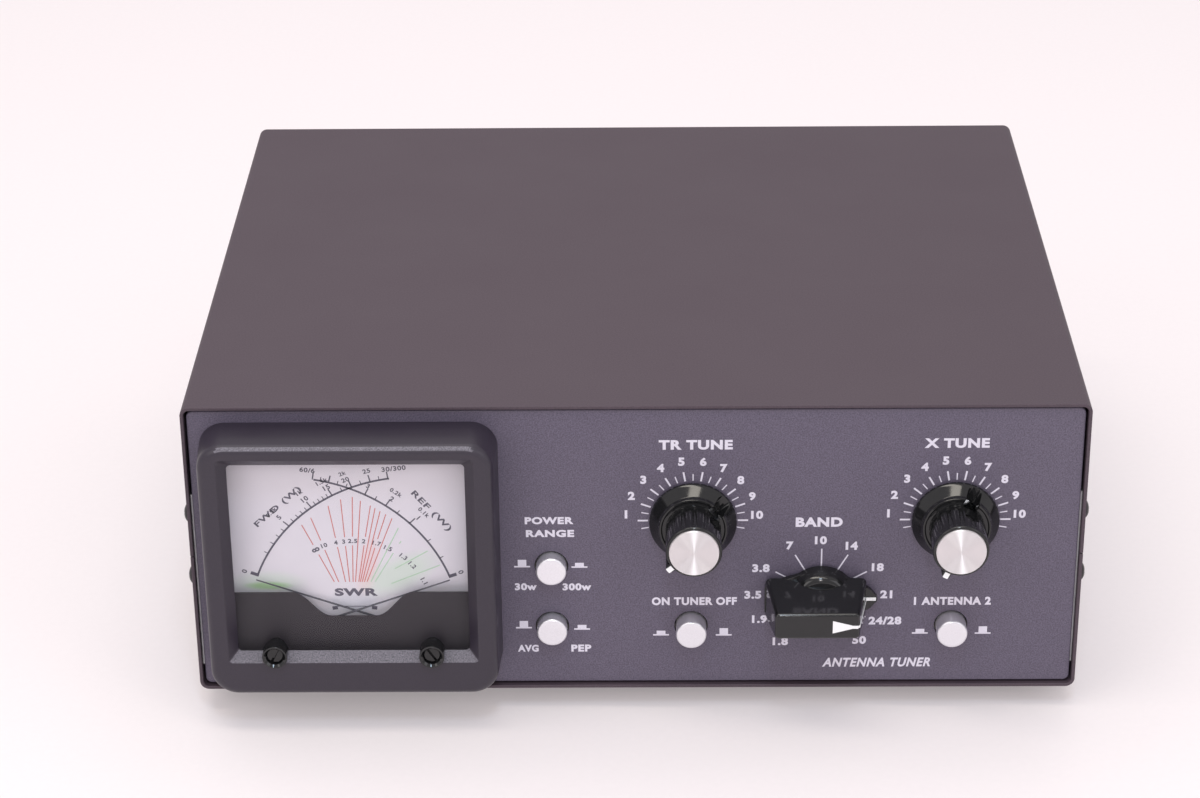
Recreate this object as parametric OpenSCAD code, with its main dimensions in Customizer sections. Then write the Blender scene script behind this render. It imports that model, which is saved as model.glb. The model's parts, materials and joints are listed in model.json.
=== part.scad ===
// Antenna tuner with a cross-needle power meter.
// X runs across the front, Y runs from the front to the back, Z is up.
// The origin is on the ground, at the middle of the whole tuner's box.

/* [Case] */
// Width of the case over the covers
case_w = 250; // [240:1:270]
// Height of the case without its feet
case_h = 90.2; // [88:0.2:100]
// Depth of the case over the covers
case_d = 207; // [195:1:230]
// Thickness of the cover sheet
cover_t = 1; // [0.8:0.1:1.5]
// Outside radius of the covers' bends
bend_r = 2.6; // [2:0.1:4]
// Height of the seam between the covers, above the case bottom
seam_z = 43.6; // [42:0.2:46]
// Height of the rubber feet
foot_h = 7; // [5:0.5:10]
// Radius of a rubber foot at its base
foot_r = 9; // [8:0.5:11]
// Height of the upper side screws above the case bottom
upper_screw_z = 53.5; // [50:0.5:58]
// Height of the lower side screws above the case bottom
lower_screw_z = 33.5; // [30:0.5:38]

/* [Panels] */
// Thickness of the front and rear panels
panel_t = 1.5; // [1.2:0.1:2]
// How far a panel's face lies inside the covers' edges
panel_recess = 1; // [0.6:0.1:2]
// Gap between a panel's edge and the cover's inside
panel_gap = 0.6; // [0.4:0.1:1]

/* [Meter] */
// Centre of the meter, across
meter_x = -79.2; // [-82:0.2:-76]
// Centre of the meter, above the case bottom
meter_z = 45.2; // [44:0.2:47]
// Width of the meter bezel
bezel_w = 82.4; // [80:0.2:84]
// Height of the meter bezel
bezel_h = 80; // [78:0.2:82]
// How far the bezel stands out of the covers' front edge
bezel_out = 13; // [10:0.5:15]
// Width of the window opening
window_w = 65; // [60:0.5:66]
// Height of the window opening
window_h = 58.8; // [54:0.2:60]
// Depth of the slope from the bezel's face to the window
window_slope = 2.7; // [1:0.1:4]
// Distance of each needle's pivot from the meter's middle
pivot_dx = 18; // [16:0.5:20]
// Height of the needle pivots above the case bottom
pivot_z = 22; // [20:0.5:24]
// Length of a needle from its pivot
needle_len = 48; // [44:0.5:50]
// Angle of a resting needle above the horizontal
needle_rest = 20; // [15:1:25]
// Distance of each zero-adjust screw from the meter's middle
zero_dx = 22; // [20:0.5:24]
// Height of the zero-adjust screws above the case bottom
zero_z = 19.3; // [18:0.1:22]

/* [Knobs] */
// Height of the tuning knobs above the case bottom
tune_z = 54; // [50:0.5:58]
// Place across of the transmitter-side tuning knob
tr_x = 15.9; // [10:0.1:20]
// Place across of the antenna-side tuning knob
x_x = 88.9; // [80:0.1:94]
// Place across of the band knob
band_x = 52; // [48:0.5:56]
// Height of the band knob above the case bottom
band_z = 30; // [28:0.5:34]
// Radius of a tuning knob's flange
flange_r = 12.2; // [11:0.1:13]
// Radius of a tuning knob's fluted body
knob_r = 8.1; // [7.5:0.1:9]
// Radius of a tuning knob's metal cap
cap_r = 7; // [6:0.1:7.4]
// How far the tuning knobs stand out of the covers' front edge
knob_out = 18; // [15:0.5:22]
// How far the band knob stands out of the covers' front edge
band_out = 17; // [15:0.5:20]
// Direction of the transmitter-side pointer, anticlockwise from the right
tr_pointer = 220; // [0:1:359]
// Direction of the antenna-side pointer, anticlockwise from the right
x_pointer = 244; // [0:1:359]

/* [Buttons] */
// Radius of a push button
button_r = 4.35; // [3.5:0.05:5]
// Place across of the two left buttons
left_button_x = -23.8; // [-26:0.2:-20]
// Place across of the tuner button
tuner_button_x = 15.5; // [12:0.5:18]
// Place across of the antenna button
antenna_button_x = 89; // [86:0.5:92]
// Height of the upper button above the case bottom
upper_button_z = 39.6; // [36:0.2:42]
// Height of the lower buttons above the case bottom
lower_button_z = 20; // [18:0.5:22]
// How far a latched button stands out of the covers' front edge
latched_out = 2.9; // [2:0.1:4]
// How far a released button stands out of the covers' front edge
released_out = 4.7; // [4:0.1:6]

/* [Rear] */
// Height of the connectors above the case bottom
socket_z = 46; // [40:0.5:52]
// Place across of the transmitter socket
transmitter_socket_x = -58; // [-70:1:-50]
// Place across of the first antenna socket
antenna_1_socket_x = 8; // [-5:1:20]
// Place across of the second antenna socket
antenna_2_socket_x = 74; // [60:1:80]
// Radius of the coaxial socket's thread
socket_r = 7.94; // [7.9:0.01:8]
// How far the earth stud stands out of the covers' rear edge
stud_out = 14; // [13:0.5:20]

/* [Hidden] */
$fn = 48;
running = 0.05;   // radial clearance of a shaft in its bearing
foot_dx = case_w / 2 - 20;
foot_inset = 25;
foot_screw_r = 1.5;
case_front = -(case_d + stud_out + knob_out) / 2 + knob_out;
case_back = case_front + case_d;
inner_w = case_w - 2 * cover_t;
panel_face = panel_recess;
panel_back = panel_face + panel_t;
panel_w = inner_w - 2 * panel_gap;
panel_h = case_h - 2 * (cover_t + panel_gap);
panel_flange = 8;
flange_w = panel_w - 8;
seam_gap = 0.3;
// side rails and deck
rail_t = 1.6;
rail_top = 62;
rail_tab = 5;
deck_z = 7;
deck_t = 1.6;
deck_front = 40;
deck_back = case_d - 12;
deck_lip = 9;
rail_front = panel_back;
rail_back = case_d - panel_back;
side_screw_inset = 8;
side_screw_ys = [side_screw_inset, case_d - side_screw_inset];
deck_screw_dx = inner_w / 2 - 6;
deck_screw_ys = [60, 180];
// meter
bezel_corner = 7.5;
cavity_w = 76;
cavity_h = 72;
window_t = 1.5;
window_y = -bezel_out + window_slope;
window_z = meter_z + 3.3;
window_corner = 1.2;
mask_y = -6.2;
mask_t = 0.4;
mask_side_z = 35.4;
mask_dip_z = 27.8;
mask_dip_half = 6.3;
mask_curve = 10.6;
mask_steps = 12;
reflected_needle_y = -4.9;
forward_needle_y = -4.3;
needle_t = 0.3;
needle_w = 0.7;
dial_y = -3;
dial_t = 0.8;
dial_back = dial_y + dial_t;
meter_case_back = 31;
meter_case_w = 75;
meter_case_h = 70;
meter_case_t = 1.5;
stud_dx = 25;
stud_dz = 37.9;
stud_r = 1.25;
zero_r = 2.45;
zero_boss_r = 3.5;
zero_boss_front = -bezel_out - 1.8;
zero_front = -bezel_out - 0.4;
hub_r = 2;
magnet_r = 10;
coil_r = 6.6;
// knobs and shafts
knob_back = panel_face - 0.6;
knob_h = knob_out + knob_back;
band_h = band_out + knob_back;
shaft_r = 3;
shaft_front = -13.5;
bushing_r = 4.7;
nut_r = 6.9;
washer_t = 0.6;
nut_t = 1.8;
channel_r = 6.5;
channel_w = 4.2;
set_screw_h = 9.2;
set_screw_r = 1.5;
// band knob: [left end, right end] of the bar at its base and at its face
band_base_h = 2;
band_bar_low = [-14.6, 12.6];
band_bar_high = [-13.5, 9.8];
band_half_low = 6.4;
band_half_high = 3.9;
band_tip = 15.8;
// tuning capacitors
frame_half = 22;
frame_back = 60;
rotor_r = 19;
rotor_cut = 0.7;   // from the shaft's middle to a plate's straight edge
plate_t = 0.9;
plate_pitch = 5.8;
rotor_plates = 9;
first_plate = 8;
// band switch
wafer_ys = [66, 84, 102];
wafer_t = 1.6;
wafer_r = 19;
wafer_bore = 6.5;
band_rod_dx = 16.5;
band_steps = 12;
// push buttons: [x, z, how far the button stands out]
BUTTONS = [
    [left_button_x, upper_button_z, latched_out],
    [left_button_x, lower_button_z, latched_out],
    [tuner_button_x, lower_button_z, released_out],
    [antenna_button_x, lower_button_z, released_out]
];
plunger_w = 3.2;
plunger_back = 17;
// rear connectors
rear_face = -panel_recess;
socket_flange = 25.4;
socket_flange_t = 1.6;
socket_hole_pitch = 18.1;
socket_len = 11.5;
socket_xs = [transmitter_socket_x, antenna_1_socket_x, antenna_2_socket_x];
socket_face = rear_face + socket_flange_t;
socket_end = socket_face + socket_len;
socket_bore = 6.3;
jack_x = -100;
stud_x = 108;
earth_r = 2.5;
// coils
coil_x = 72;
coil_y = 150;
coil_z = 50;
coil_turns = 12;
coil_pitch = 6;
coil_mean_r = 20;
wire_r = 1;
helix_sides = 6;
helix_steps = 18;
toroid_x = -10;
toroid_y = 120;

// ---- outlines ----

function arc(centre, r, from, to, steps = 8) =
    [for (i = [0:steps]) let (a = from + (to - from) * i / steps) centre + r * [cos(a), sin(a)]];

function rounded(w, h, r) = concat(
    arc([w / 2 - r, h / 2 - r], r, 0, 90),
    arc([r - w / 2, h / 2 - r], r, 90, 180),
    arc([r - w / 2, r - h / 2], r, 180, 270),
    arc([w / 2 - r, r - h / 2], r, 270, 360));

// an upside-down channel of bent sheet that stands on y = 0
function channel(w, h, r, t) = concat(
    [[-w / 2, 0]],
    arc([r - w / 2, h - r], r, 180, 90),
    arc([w / 2 - r, h - r], r, 90, 0),
    [[w / 2, 0], [w / 2 - t, 0]],
    arc([w / 2 - r, h - r], r - t, 0, 90),
    arc([r - w / 2, h - r], r - t, 90, 180),
    [[t - w / 2, 0]]);

// ---- placing ----

// y is 0 at the covers' front edge and z is 0 at the case bottom
module front() translate([0, case_front, foot_h]) children();

// y is 0 at the covers' rear edge
module rear() translate([0, case_back, foot_h]) children();

// a round bar along Y
module rod(x, z, y0, y1, r) translate([x, y0, z]) rotate([-90, 0, 0]) cylinder(h = y1 - y0, r = r);

// an outline drawn across and up, given a depth along Y
module slab(y0, y1) translate([0, y1, 0]) rotate([90, 0, 0]) linear_extrude(y1 - y0) children();

module block(x0, x1, y0, y1, z0, z1) translate([x0, y0, z0]) cube([x1 - x0, y1 - y0, z1 - z0]);

// the child's own Z points out of the front
module outward(x, z, y) translate([x, y, z]) rotate([90, 0, 0]) children();

module hex(x, z, y0, y1, r) translate([x, y0, z]) rotate([-90, 0, 0]) cylinder(h = y1 - y0, r = r, $fn = 6);

// ---- case ----

module side_holes(z, r) {
    for (y = side_screw_ys)
        translate([-case_w / 2 - 1, y, z]) rotate([0, 90, 0]) cylinder(h = case_w + 2, r = r);
}

module top_cover() color("#5b5259") front() difference() {
    slab(0, case_d) translate([0, seam_z]) polygon(channel(case_w, case_h - seam_z, bend_r, cover_t));
    side_holes(upper_screw_z, 1.5);
}

module foot_places() {
    for (x = [-foot_dx, foot_dx], y = [foot_inset, case_d - foot_inset]) translate([x, y, 0]) children();
}

module bottom_cover() color("#5b5259") front() difference() {
    slab(0, case_d) mirror([0, 1]) translate([0, seam_gap - seam_z])
        polygon(channel(case_w, seam_z - seam_gap, bend_r, cover_t));
    side_holes(lower_screw_z, 1.5);
    foot_places() translate([0, 0, -1]) cylinder(h = cover_t + 2, r = foot_screw_r);
}

module panel_flanges(y0, y1) {
    for (z = [cover_t + panel_gap, case_h - cover_t - panel_gap - panel_t])
        block(-flange_w / 2, flange_w / 2, y0, y1, z, z + panel_t);
}

module panel_outline() translate([0, case_h / 2]) polygon(rounded(panel_w, panel_h, 1.2));

module front_panel() color("#5a5562") front() difference() {
    union() {
        slab(panel_face, panel_back) panel_outline();
        panel_flanges(panel_back, panel_back + panel_flange);
    }
    slab(panel_face - 1, panel_back + 1) translate([meter_x, meter_z])
        polygon(rounded(meter_case_w + 0.4, meter_case_h + 0.4, 2));
    for (dx = [-stud_dx, stud_dx], dz = [-stud_dz, stud_dz])
        rod(meter_x + dx, meter_z + dz, panel_face - 1, panel_back + 1, stud_r);
    for (place = [[tr_x, tune_z], [x_x, tune_z], [band_x, band_z]])
        rod(place.x, place.y, panel_face - 1, panel_back + 1, bushing_r);
    for (button = BUTTONS) rod(button.x, button.y, panel_face - 1, panel_back + 1, button_r + 0.4);
}

module rear_panel() color("#5a5562") rear() difference() {
    union() {
        slab(rear_face - panel_t, rear_face) panel_outline();
        panel_flanges(rear_face - panel_t - panel_flange, rear_face - panel_t);
    }
    for (x = socket_xs) {
        rod(x, socket_z, -4, 1, socket_r + 0.1);
        socket_corners(x) rod(0, 0, -4, 1, 1.5);
    }
    rod(jack_x, socket_z, -4, 1, 4);
    rod(stud_x, socket_z, -4, 1, earth_r);
}

module rail(side) color("#a9acb0") front() difference() {
    union() {
        block(side * inner_w / 2 - (side > 0 ? rail_t : 0), side * inner_w / 2 + (side > 0 ? 0 : rail_t),
            rail_front, rail_back, deck_z, rail_top);
        for (y = [rail_front, rail_back - rail_t]) mirror([side > 0 ? 0 : 1, 0, 0])
            block(inner_w / 2 - rail_t - rail_tab, inner_w / 2, y, y + rail_t, deck_z, rail_top);
        mirror([side > 0 ? 0 : 1, 0, 0])
            block(inner_w / 2 - deck_lip, inner_w / 2, deck_front, deck_back, deck_z - rail_t, deck_z);
    }
    side_holes(upper_screw_z, 1.5);
    side_holes(lower_screw_z, 1.5);
    for (y = deck_screw_ys) translate([side * deck_screw_dx, y, 0]) cylinder(h = 12, r = 1.5);
}

module left_rail() rail(-1);

module right_rail() rail(1);

module deck() color("#b4b6b8") front() difference() {
    block(rail_t - inner_w / 2, inner_w / 2 - rail_t, deck_front, deck_back, deck_z, deck_z + deck_t);
    for (x = [-deck_screw_dx, deck_screw_dx], y = deck_screw_ys)
        translate([x, y, 0]) cylinder(h = 12, r = 1.5);
}

// a domed screw whose head rests on z = 0, with a cross recess
module dome_screw(head_r, head_h, shank_r, shank) {
    difference() {
        union() {
            translate([0, 0, -shank]) cylinder(h = shank, r = shank_r);
            rotate_extrude() intersection() {
                translate([0, head_h - head_r * 1.3]) circle(r = head_r * 1.3);
                square([head_r, head_h]);
            }
        }
        for (a = [0, 90]) rotate([0, 0, a]) translate([-1.4, -0.3, head_h - 1]) cube([2.8, 0.6, 2]);
    }
}

module cover_screws() color("#2b2a2d") front() {
    for (side = [-1, 1], y = side_screw_ys, z = [lower_screw_z, upper_screw_z])
        translate([side * case_w / 2, y, z]) rotate([0, side * 90, 0]) dome_screw(2.8, 2, 1.5, 4);
}

module deck_screws() color("#c3c3c3") front() {
    for (x = [-deck_screw_dx, deck_screw_dx], y = deck_screw_ys)
        translate([x, y, deck_z + deck_t]) dome_screw(2.8, 2, 1.5, 4.2);
}

module rubber_feet() color("#1c1c1d") translate([0, case_front, 0]) foot_places() rotate_extrude()
    polygon([[4, 0], [foot_r, 0], [foot_r + 1, foot_h], [foot_screw_r, foot_h], [foot_screw_r, 3.6], [4, 3.6]]);

// A screw up through each foot, and its nut inside the bottom cover.
module foot_fasteners() color("#c3c3c3") {
    translate([0, case_front, 3.6]) foot_places() mirror([0, 0, 1])
        dome_screw(2.8, 2, foot_screw_r, foot_h - 3.6 + cover_t + 3.4);
    front() foot_places() translate([0, 0, cover_t]) difference() {
        cylinder(h = 2.4, r = 3.1, $fn = 6);
        translate([0, 0, -1]) cylinder(h = 5, r = foot_screw_r);
    }
}

// ---- meter ----

module at_meter() translate([meter_x, 0, meter_z]) children();

module window_slope_cut() {
    half_w = window_w / 2;
    half_h = window_h / 2;
    reach = window_slope + 1;
    intersection() {
        translate([0, 0, -half_h - reach]) linear_extrude(2 * (half_h + reach))
            polygon([[-half_w, 0], [half_w, 0], [half_w + reach, -reach], [-half_w - reach, -reach]]);
        rotate([90, 0, 90]) translate([0, 0, -half_w - reach]) linear_extrude(2 * (half_w + reach))
            polygon([[0, -half_h], [0, half_h], [-reach, half_h + reach], [-reach, -half_h - reach]]);
    }
}

module zero_places() for (side = [-1, 1]) translate([meter_x + side * zero_dx, 0, zero_z]) children();

module meter_bezel() color("#464249") front() difference() {
    union() {
        difference() {
            at_meter() slab(-bezel_out, panel_face) polygon(rounded(bezel_w, bezel_h, bezel_corner));
            translate([meter_x, window_y, window_z]) window_slope_cut();
            slab(window_y - 0.1, window_y + 1) translate([meter_x, window_z])
                polygon(rounded(window_w, window_h, window_corner));
        }
        zero_places() rod(0, 0, zero_boss_front, window_y, zero_boss_r);
        for (dx = [-stud_dx, stud_dx], dz = [-stud_dz, stud_dz])
            rod(meter_x + dx, meter_z + dz, panel_face, panel_back + 6, stud_r);
    }
    at_meter() slab(window_y, panel_face + 1) polygon(rounded(cavity_w, cavity_h, 3));
    zero_places() rod(0, 0, zero_boss_front - 1, window_y + 1, zero_r + running);
}

module meter_window() color("#dfe6ee", 0.35) front() difference() {
    at_meter() slab(window_y, window_y + window_t) polygon(rounded(cavity_w, cavity_h, 3));
    zero_places() rod(0, 0, window_y - 1, window_y + window_t + 1, zero_r + running);
}

// the mask covers the movements and dips in the middle, where the needles cross
function mask_rise(t) = mask_dip_z + (mask_side_z - mask_dip_z) * (1 - cos(180 * t)) / 2;

module meter_mask() color("#3c383d") front() difference() {
    slab(mask_y, mask_y + mask_t) translate([meter_x, 0]) polygon(concat(
        [[-cavity_w / 2, meter_z - cavity_h / 2 + 3], [-cavity_w / 2, mask_side_z]],
        [for (i = [0:mask_steps]) [-mask_dip_half - mask_curve * (1 - i / mask_steps), mask_rise(1 - i / mask_steps)]],
        [for (i = [0:mask_steps]) [mask_dip_half + mask_curve * i / mask_steps, mask_rise(i / mask_steps)]],
        [[cavity_w / 2, mask_side_z], [cavity_w / 2, meter_z - cavity_h / 2 + 3]]));
    zero_places() rod(0, 0, mask_y - 1, mask_y + 2, 1.2);
}

module pivot_places() for (side = [-1, 1]) translate([meter_x + side * pivot_dx, 0, pivot_z]) children();

module meter_dial() color("#f2f1f4") front() difference() {
    slab(dial_y, dial_back) translate([meter_x, meter_z]) polygon(rounded(cavity_w - 0.4, cavity_h - 0.4, 3));
    pivot_places() rod(0, 0, dial_y - 1, dial_back + 1, 3);
    zero_places() rod(0, 0, dial_y - 1, dial_back + 1, 1.2);
}

module meter_case() color("#2c2b2e") front() at_meter() difference() {
    slab(dial_back, meter_case_back) polygon(rounded(meter_case_w, meter_case_h, 2));
    slab(dial_back - 1, meter_case_back - meter_case_t)
        polygon(rounded(meter_case_w - 2 * meter_case_t, meter_case_h - 2 * meter_case_t, 1));
}

module meter_nuts() color("#c3c3c3") front() at_meter()
    for (dx = [-stud_dx, stud_dx], dz = [-stud_dz, stud_dz]) difference() {
        hex(dx, dz, panel_back, panel_back + 2, 2.7);
        rod(dx, dz, panel_back - 1, panel_back + 3, stud_r);
    }

module meter_lamps() color("#f6ecd0") front() at_meter() for (dx = [-24, 24]) {
    rod(dx, 28, 8, meter_case_back - meter_case_t, 2.5);
    translate([dx, 8, 28]) sphere(r = 2);
}

// a needle that turns about its own Y axis and points along +X, with its moving coil behind it
module needle(y) {
    slab(y, y + needle_t) polygon([[0, needle_w / 2], [needle_len, 0.12], [needle_len, -0.12],
        [0, -needle_w / 2], [-3.2, -0.9], [-3.2, 0.9]]);
    rod(0, 0, y, 4.5, 0.6);
    rod(0, 0, y - 0.2, y + needle_t + 0.2, hub_r);
    difference() {
        rod(0, 0, 4, 16, coil_r);
        rod(0, 0, 5, 17, coil_r - 1.2);
    }
}

// a positive turn lifts the needle's tip anticlockwise, seen from the front
module turned(angle) rotate([0, -angle, 0]) children();

module forward_needle() color("#1d1c20") front() translate([meter_x + pivot_dx, 0, pivot_z])
    turned(180 - needle_rest) needle(forward_needle_y);

module reflected_needle() color("#1d1c20") front() translate([meter_x - pivot_dx, 0, pivot_z])
    turned(needle_rest) needle(reflected_needle_y);

// the fixed magnet ring and core of one movement, on the meter case's back wall
module movement() {
    difference() {
        rod(0, 0, 3, 19, magnet_r);
        rod(0, 0, 2, 17, coil_r + 0.7);
    }
    rod(0, 0, 6, 18, coil_r - 1.9);
    rod(0, 0, 18, meter_case_back - meter_case_t, 5);
}

module forward_movement() color("#6b6f76") front() translate([meter_x + pivot_dx, 0, pivot_z]) movement();

module reflected_movement() color("#6b6f76") front() translate([meter_x - pivot_dx, 0, pivot_z]) movement();

// a slotted screw with a thin tail and a crank pin that trims the needle's rest
module zero_screw() {
    difference() {
        rod(0, 0, zero_front, mask_y - 1.2, zero_r);
        rotate([0, 35, 0]) block(-4, 4, zero_front - 1, zero_front + 1, -0.5, 0.5);
    }
    rod(0, 0, mask_y - 1.3, 1, 0.8);
    rod(0, 0, 0, 1, 1.6);
    rod(1, 0, 1, 2.4, 0.4);
}

module forward_zero_screw() color("#242326") front() translate([meter_x + zero_dx, 0, zero_z]) zero_screw();

module reflected_zero_screw() color("#242326") front() translate([meter_x - zero_dx, 0, zero_z]) zero_screw();

// ---- tuning knobs ----

// the flange slopes in to a step, and a pointer rib runs along the body
module tune_knob(pointer) rotate([0, 0, pointer]) difference() {
    union() {
        rotate_extrude() polygon([[0, 0], [flange_r, 0], [flange_r, 1], [9.6, 4], [9.4, 5.2], [knob_r, 5.4],
            [knob_r, knob_h - 1.4], [cap_r + 0.5, knob_h - 0.5], [0, knob_h - 0.5]]);
        translate([0, -1.2, 1]) cube([9.3, 2.4, knob_h - 2.2]);
    }
    translate([0, 0, -1]) cylinder(h = 5, r = 7.6);
    translate([0, 0, -1]) cylinder(h = -shaft_front + knob_back + 1.3, r = shaft_r);
    translate([0, 0, knob_h - 1.5]) cylinder(h = 3, r = cap_r);
    translate([-flange_r - 1, -channel_w / 2, -1]) cube([flange_r + 1 - channel_r, channel_w, set_screw_h + 3.2]);
    translate([0, 0, set_screw_h]) rotate([0, -90, 0]) cylinder(h = knob_r + 2, r = set_screw_r);
}

module knob_cap() difference() {
    translate([0, 0, knob_h - 1.5]) cylinder(h = 1.5, r = cap_r);
    translate([0, 0, knob_h - 0.2]) difference() {
        cylinder(h = 1, r = cap_r + 1);
        translate([0, 0, -1]) cylinder(h = 3, r = cap_r - 0.2);
    }
}

module knob_mark(pointer) rotate([0, 0, pointer])
    translate([8, -0.6, knob_h - 1.2]) cube([1.3, 1.2, 0.3]);

module set_screw(pointer) rotate([0, 0, pointer]) translate([-shaft_r, 0, set_screw_h])
    rotate([0, -90, 0]) difference() {
        cylinder(h = 3, r = set_screw_r);
        translate([0, 0, 2]) cylinder(h = 2, r = 0.75, $fn = 6);
    }

module tr_knob() color("#151416") front() outward(tr_x, tune_z, knob_back) tune_knob(tr_pointer);

module tr_knob_cap() color("#d8d5d6") front() outward(tr_x, tune_z, knob_back) knob_cap();

module tr_knob_mark() color("#f4f4f4") front() outward(tr_x, tune_z, knob_back) knob_mark(tr_pointer);

module tr_set_screw() color("#555557") front() outward(tr_x, tune_z, knob_back) set_screw(tr_pointer);

module x_knob() color("#151416") front() outward(x_x, tune_z, knob_back) tune_knob(x_pointer);

module x_knob_cap() color("#d8d5d6") front() outward(x_x, tune_z, knob_back) knob_cap();

module x_knob_mark() color("#f4f4f4") front() outward(x_x, tune_z, knob_back) knob_mark(x_pointer);

module x_set_screw() color("#555557") front() outward(x_x, tune_z, knob_back) set_screw(x_pointer);

// ---- tuning capacitors ----

// the shaft and the half-round plates that swing through the stator
module rotor(x, pointer) front() translate([x, 0, tune_z]) {
    rod(0, 0, shaft_front, frame_back, shaft_r);
    rod(0, 0, first_plate - 0.6, first_plate + plate_pitch * (rotor_plates - 1) + plate_t + 0.6, 5.5);
    turned(pointer) for (i = [0:rotor_plates - 1]) {
        y = first_plate + i * plate_pitch;
        slab(y, y + plate_t) intersection() {
            circle(r = rotor_r);
            translate([-rotor_r, rotor_cut]) square([2 * rotor_r, rotor_r]);
        }
    }
}

module stator(x) front() translate([x, 0, tune_z]) {
    for (i = [0:rotor_plates - 2]) {
        y = first_plate + (i + 0.5) * plate_pitch;
        slab(y, y + plate_t) difference() {
            translate([-17, 1.5]) square([34, 19]);
            circle(r = 7.2);
        }
    }
    for (dx = [-12, 8]) block(dx, dx + 4, 6.5, 56, 19.5, 21.5);
}

module capacitor_frame(x) front() translate([x, 0, tune_z]) difference() {
    union() {
        for (y = [panel_back, frame_back - 2])
            slab(y, y + 2) square(2 * frame_half, center = true);
        for (dx = [-19.5, 19.5], dz = [-19.5, 19.5]) rod(dx, dz, panel_back + 2, frame_back - 2, 2);
        rod(0, 0, -2.4, panel_back, bushing_r);
    }
    rod(0, 0, -3, frame_back + 1, shaft_r + running);
}

module tr_rotor() color("#c9cbce") rotor(tr_x, tr_pointer);

module tr_stator() color("#b9bcc0") stator(tr_x);

module tr_frame() color("#9ea2a6") capacitor_frame(tr_x);

module x_rotor() color("#c9cbce") rotor(x_x, x_pointer);

module x_stator() color("#b9bcc0") stator(x_x);

module x_frame() color("#9ea2a6") capacitor_frame(x_x);

module stator_insulators() color("#e9e6da") front() for (x = [tr_x, x_x], y = [panel_back + 2, 56])
    block(x - 13, x + 13, y, y + 2, tune_z + 17.5, tune_z + 21.5);

// ---- band switch ----

// the bar narrows towards its face, and wings at its base carry the pointer
module band_knob() color("#151416") front() outward(band_x, band_z, knob_back) difference() {
    union() {
        cylinder(h = 5, r1 = 10.4, r2 = 8.6);
        linear_extrude(band_base_h) hull() {
            circle(r = 9.6);
            for (side = [-1, 1]) translate([side * (band_tip - 2), 0]) circle(r = 2);
        }
        intersection() {
            translate([0, 12, 0]) rotate([90, 0, 0]) linear_extrude(24) polygon([[band_bar_low[0], 1],
                [band_bar_low[1], 1], [band_bar_high[1], band_h], [band_bar_high[0], band_h]]);
            translate([-20, 0, 0]) rotate([90, 0, 90]) linear_extrude(40) polygon([[-band_half_low, 1],
                [band_half_low, 1], [band_half_high, band_h], [-band_half_high, band_h]]);
        }
    }
    translate([0, 0, -1]) cylinder(h = 4.4, r = 7.5);
    translate([0, 0, -1]) cylinder(h = -shaft_front + knob_back + 1.3, r = shaft_r);
}

// the white arrow on the bar's face, and the white tip on the wing
module band_knob_pointer() color("#f4f4f4") front() outward(band_x, band_z, knob_back) {
    translate([0, 0, band_h]) linear_extrude(0.15)
        polygon([[3.4, 2], [8, 0.6], [9.7, 0.4], [9.7, -0.4], [8, -0.6], [3.4, -2]]);
    translate([13, -0.5, band_base_h]) cube([2.4, 1, 0.15]);
}

module band_rotor() color("#c9cbce") front() translate([band_x, 0, band_z]) {
    rod(0, 0, shaft_front, 108, shaft_r);
    for (y = wafer_ys) {
        rod(0, 0, y - 0.4, y + wafer_t + 0.4, wafer_bore - 0.4);
        block(0, 13, y - 0.8, y - 0.4, -1.2, 1.2);
    }
}

module band_switch() color("#9ea2a6") front() translate([band_x, 0, band_z]) difference() {
    union() {
        rod(0, 0, panel_back, 10, 12.6);
        rod(0, 0, -2.4, panel_back, bushing_r);
        for (y = [10, 106]) block(-19, 19, y, y + 1.5, -4, 1.6);
        for (side = [-1, 1]) rod(side * band_rod_dx, 0, 10, 107.5, 1.5);
        translate([0, 106, -21.4]) block(-6, 6, 0, 1.5, 0, 18);
        block(-6, 6, 106, 116, -21.4, -19.9);
    }
    rod(0, 0, -3, 110, shaft_r + running);
}

// ceramic rings with a brass contact at every step
module band_wafers() color("#e9e6da") front() translate([band_x, 0, band_z]) for (y = wafer_ys) {
    difference() {
        rod(0, 0, y, y + wafer_t, wafer_r);
        rod(0, 0, y - 1, y + wafer_t + 1, wafer_bore);
        for (side = [-1, 1]) rod(side * band_rod_dx, 0, y - 1, y + wafer_t + 1, 1.5);
    }
    for (i = [0:band_steps - 1]) turned(15 + i * 360 / band_steps)
        block(11, 21.5, y + wafer_t, y + wafer_t + 0.5, -1, 1);
}

module control_nuts() color("#c3c3c3") front()
    for (place = [[tr_x, tune_z], [x_x, tune_z], [band_x, band_z]]) difference() {
        union() {
            rod(place.x, place.y, panel_face - washer_t, panel_face, 7.2);
            hex(place.x, place.y, panel_face - washer_t - nut_t, panel_face - washer_t, nut_r);
        }
        rod(place.x, place.y, panel_face - 4, panel_face + 1, bushing_r);
    }

// ---- push buttons ----

module push_button(button) color("#b9b9c2") front() {
    outward(button.x, button.y, -button[2]) mirror([0, 0, 1]) rotate_extrude() polygon(concat(
        [[0, 0]], arc([button_r - 0.8, 0.8], 0.8, -90, 0, 6), [[button_r, button[2] + 7], [0, button[2] + 7]]));
    block(button.x - plunger_w / 2, button.x + plunger_w / 2, 7, plunger_back,
        button.y - plunger_w / 2, button.y + plunger_w / 2);
}

module range_button() push_button(BUTTONS[0]);

module average_button() push_button(BUTTONS[1]);

module tuner_button() push_button(BUTTONS[2]);

module antenna_button() push_button(BUTTONS[3]);

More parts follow.
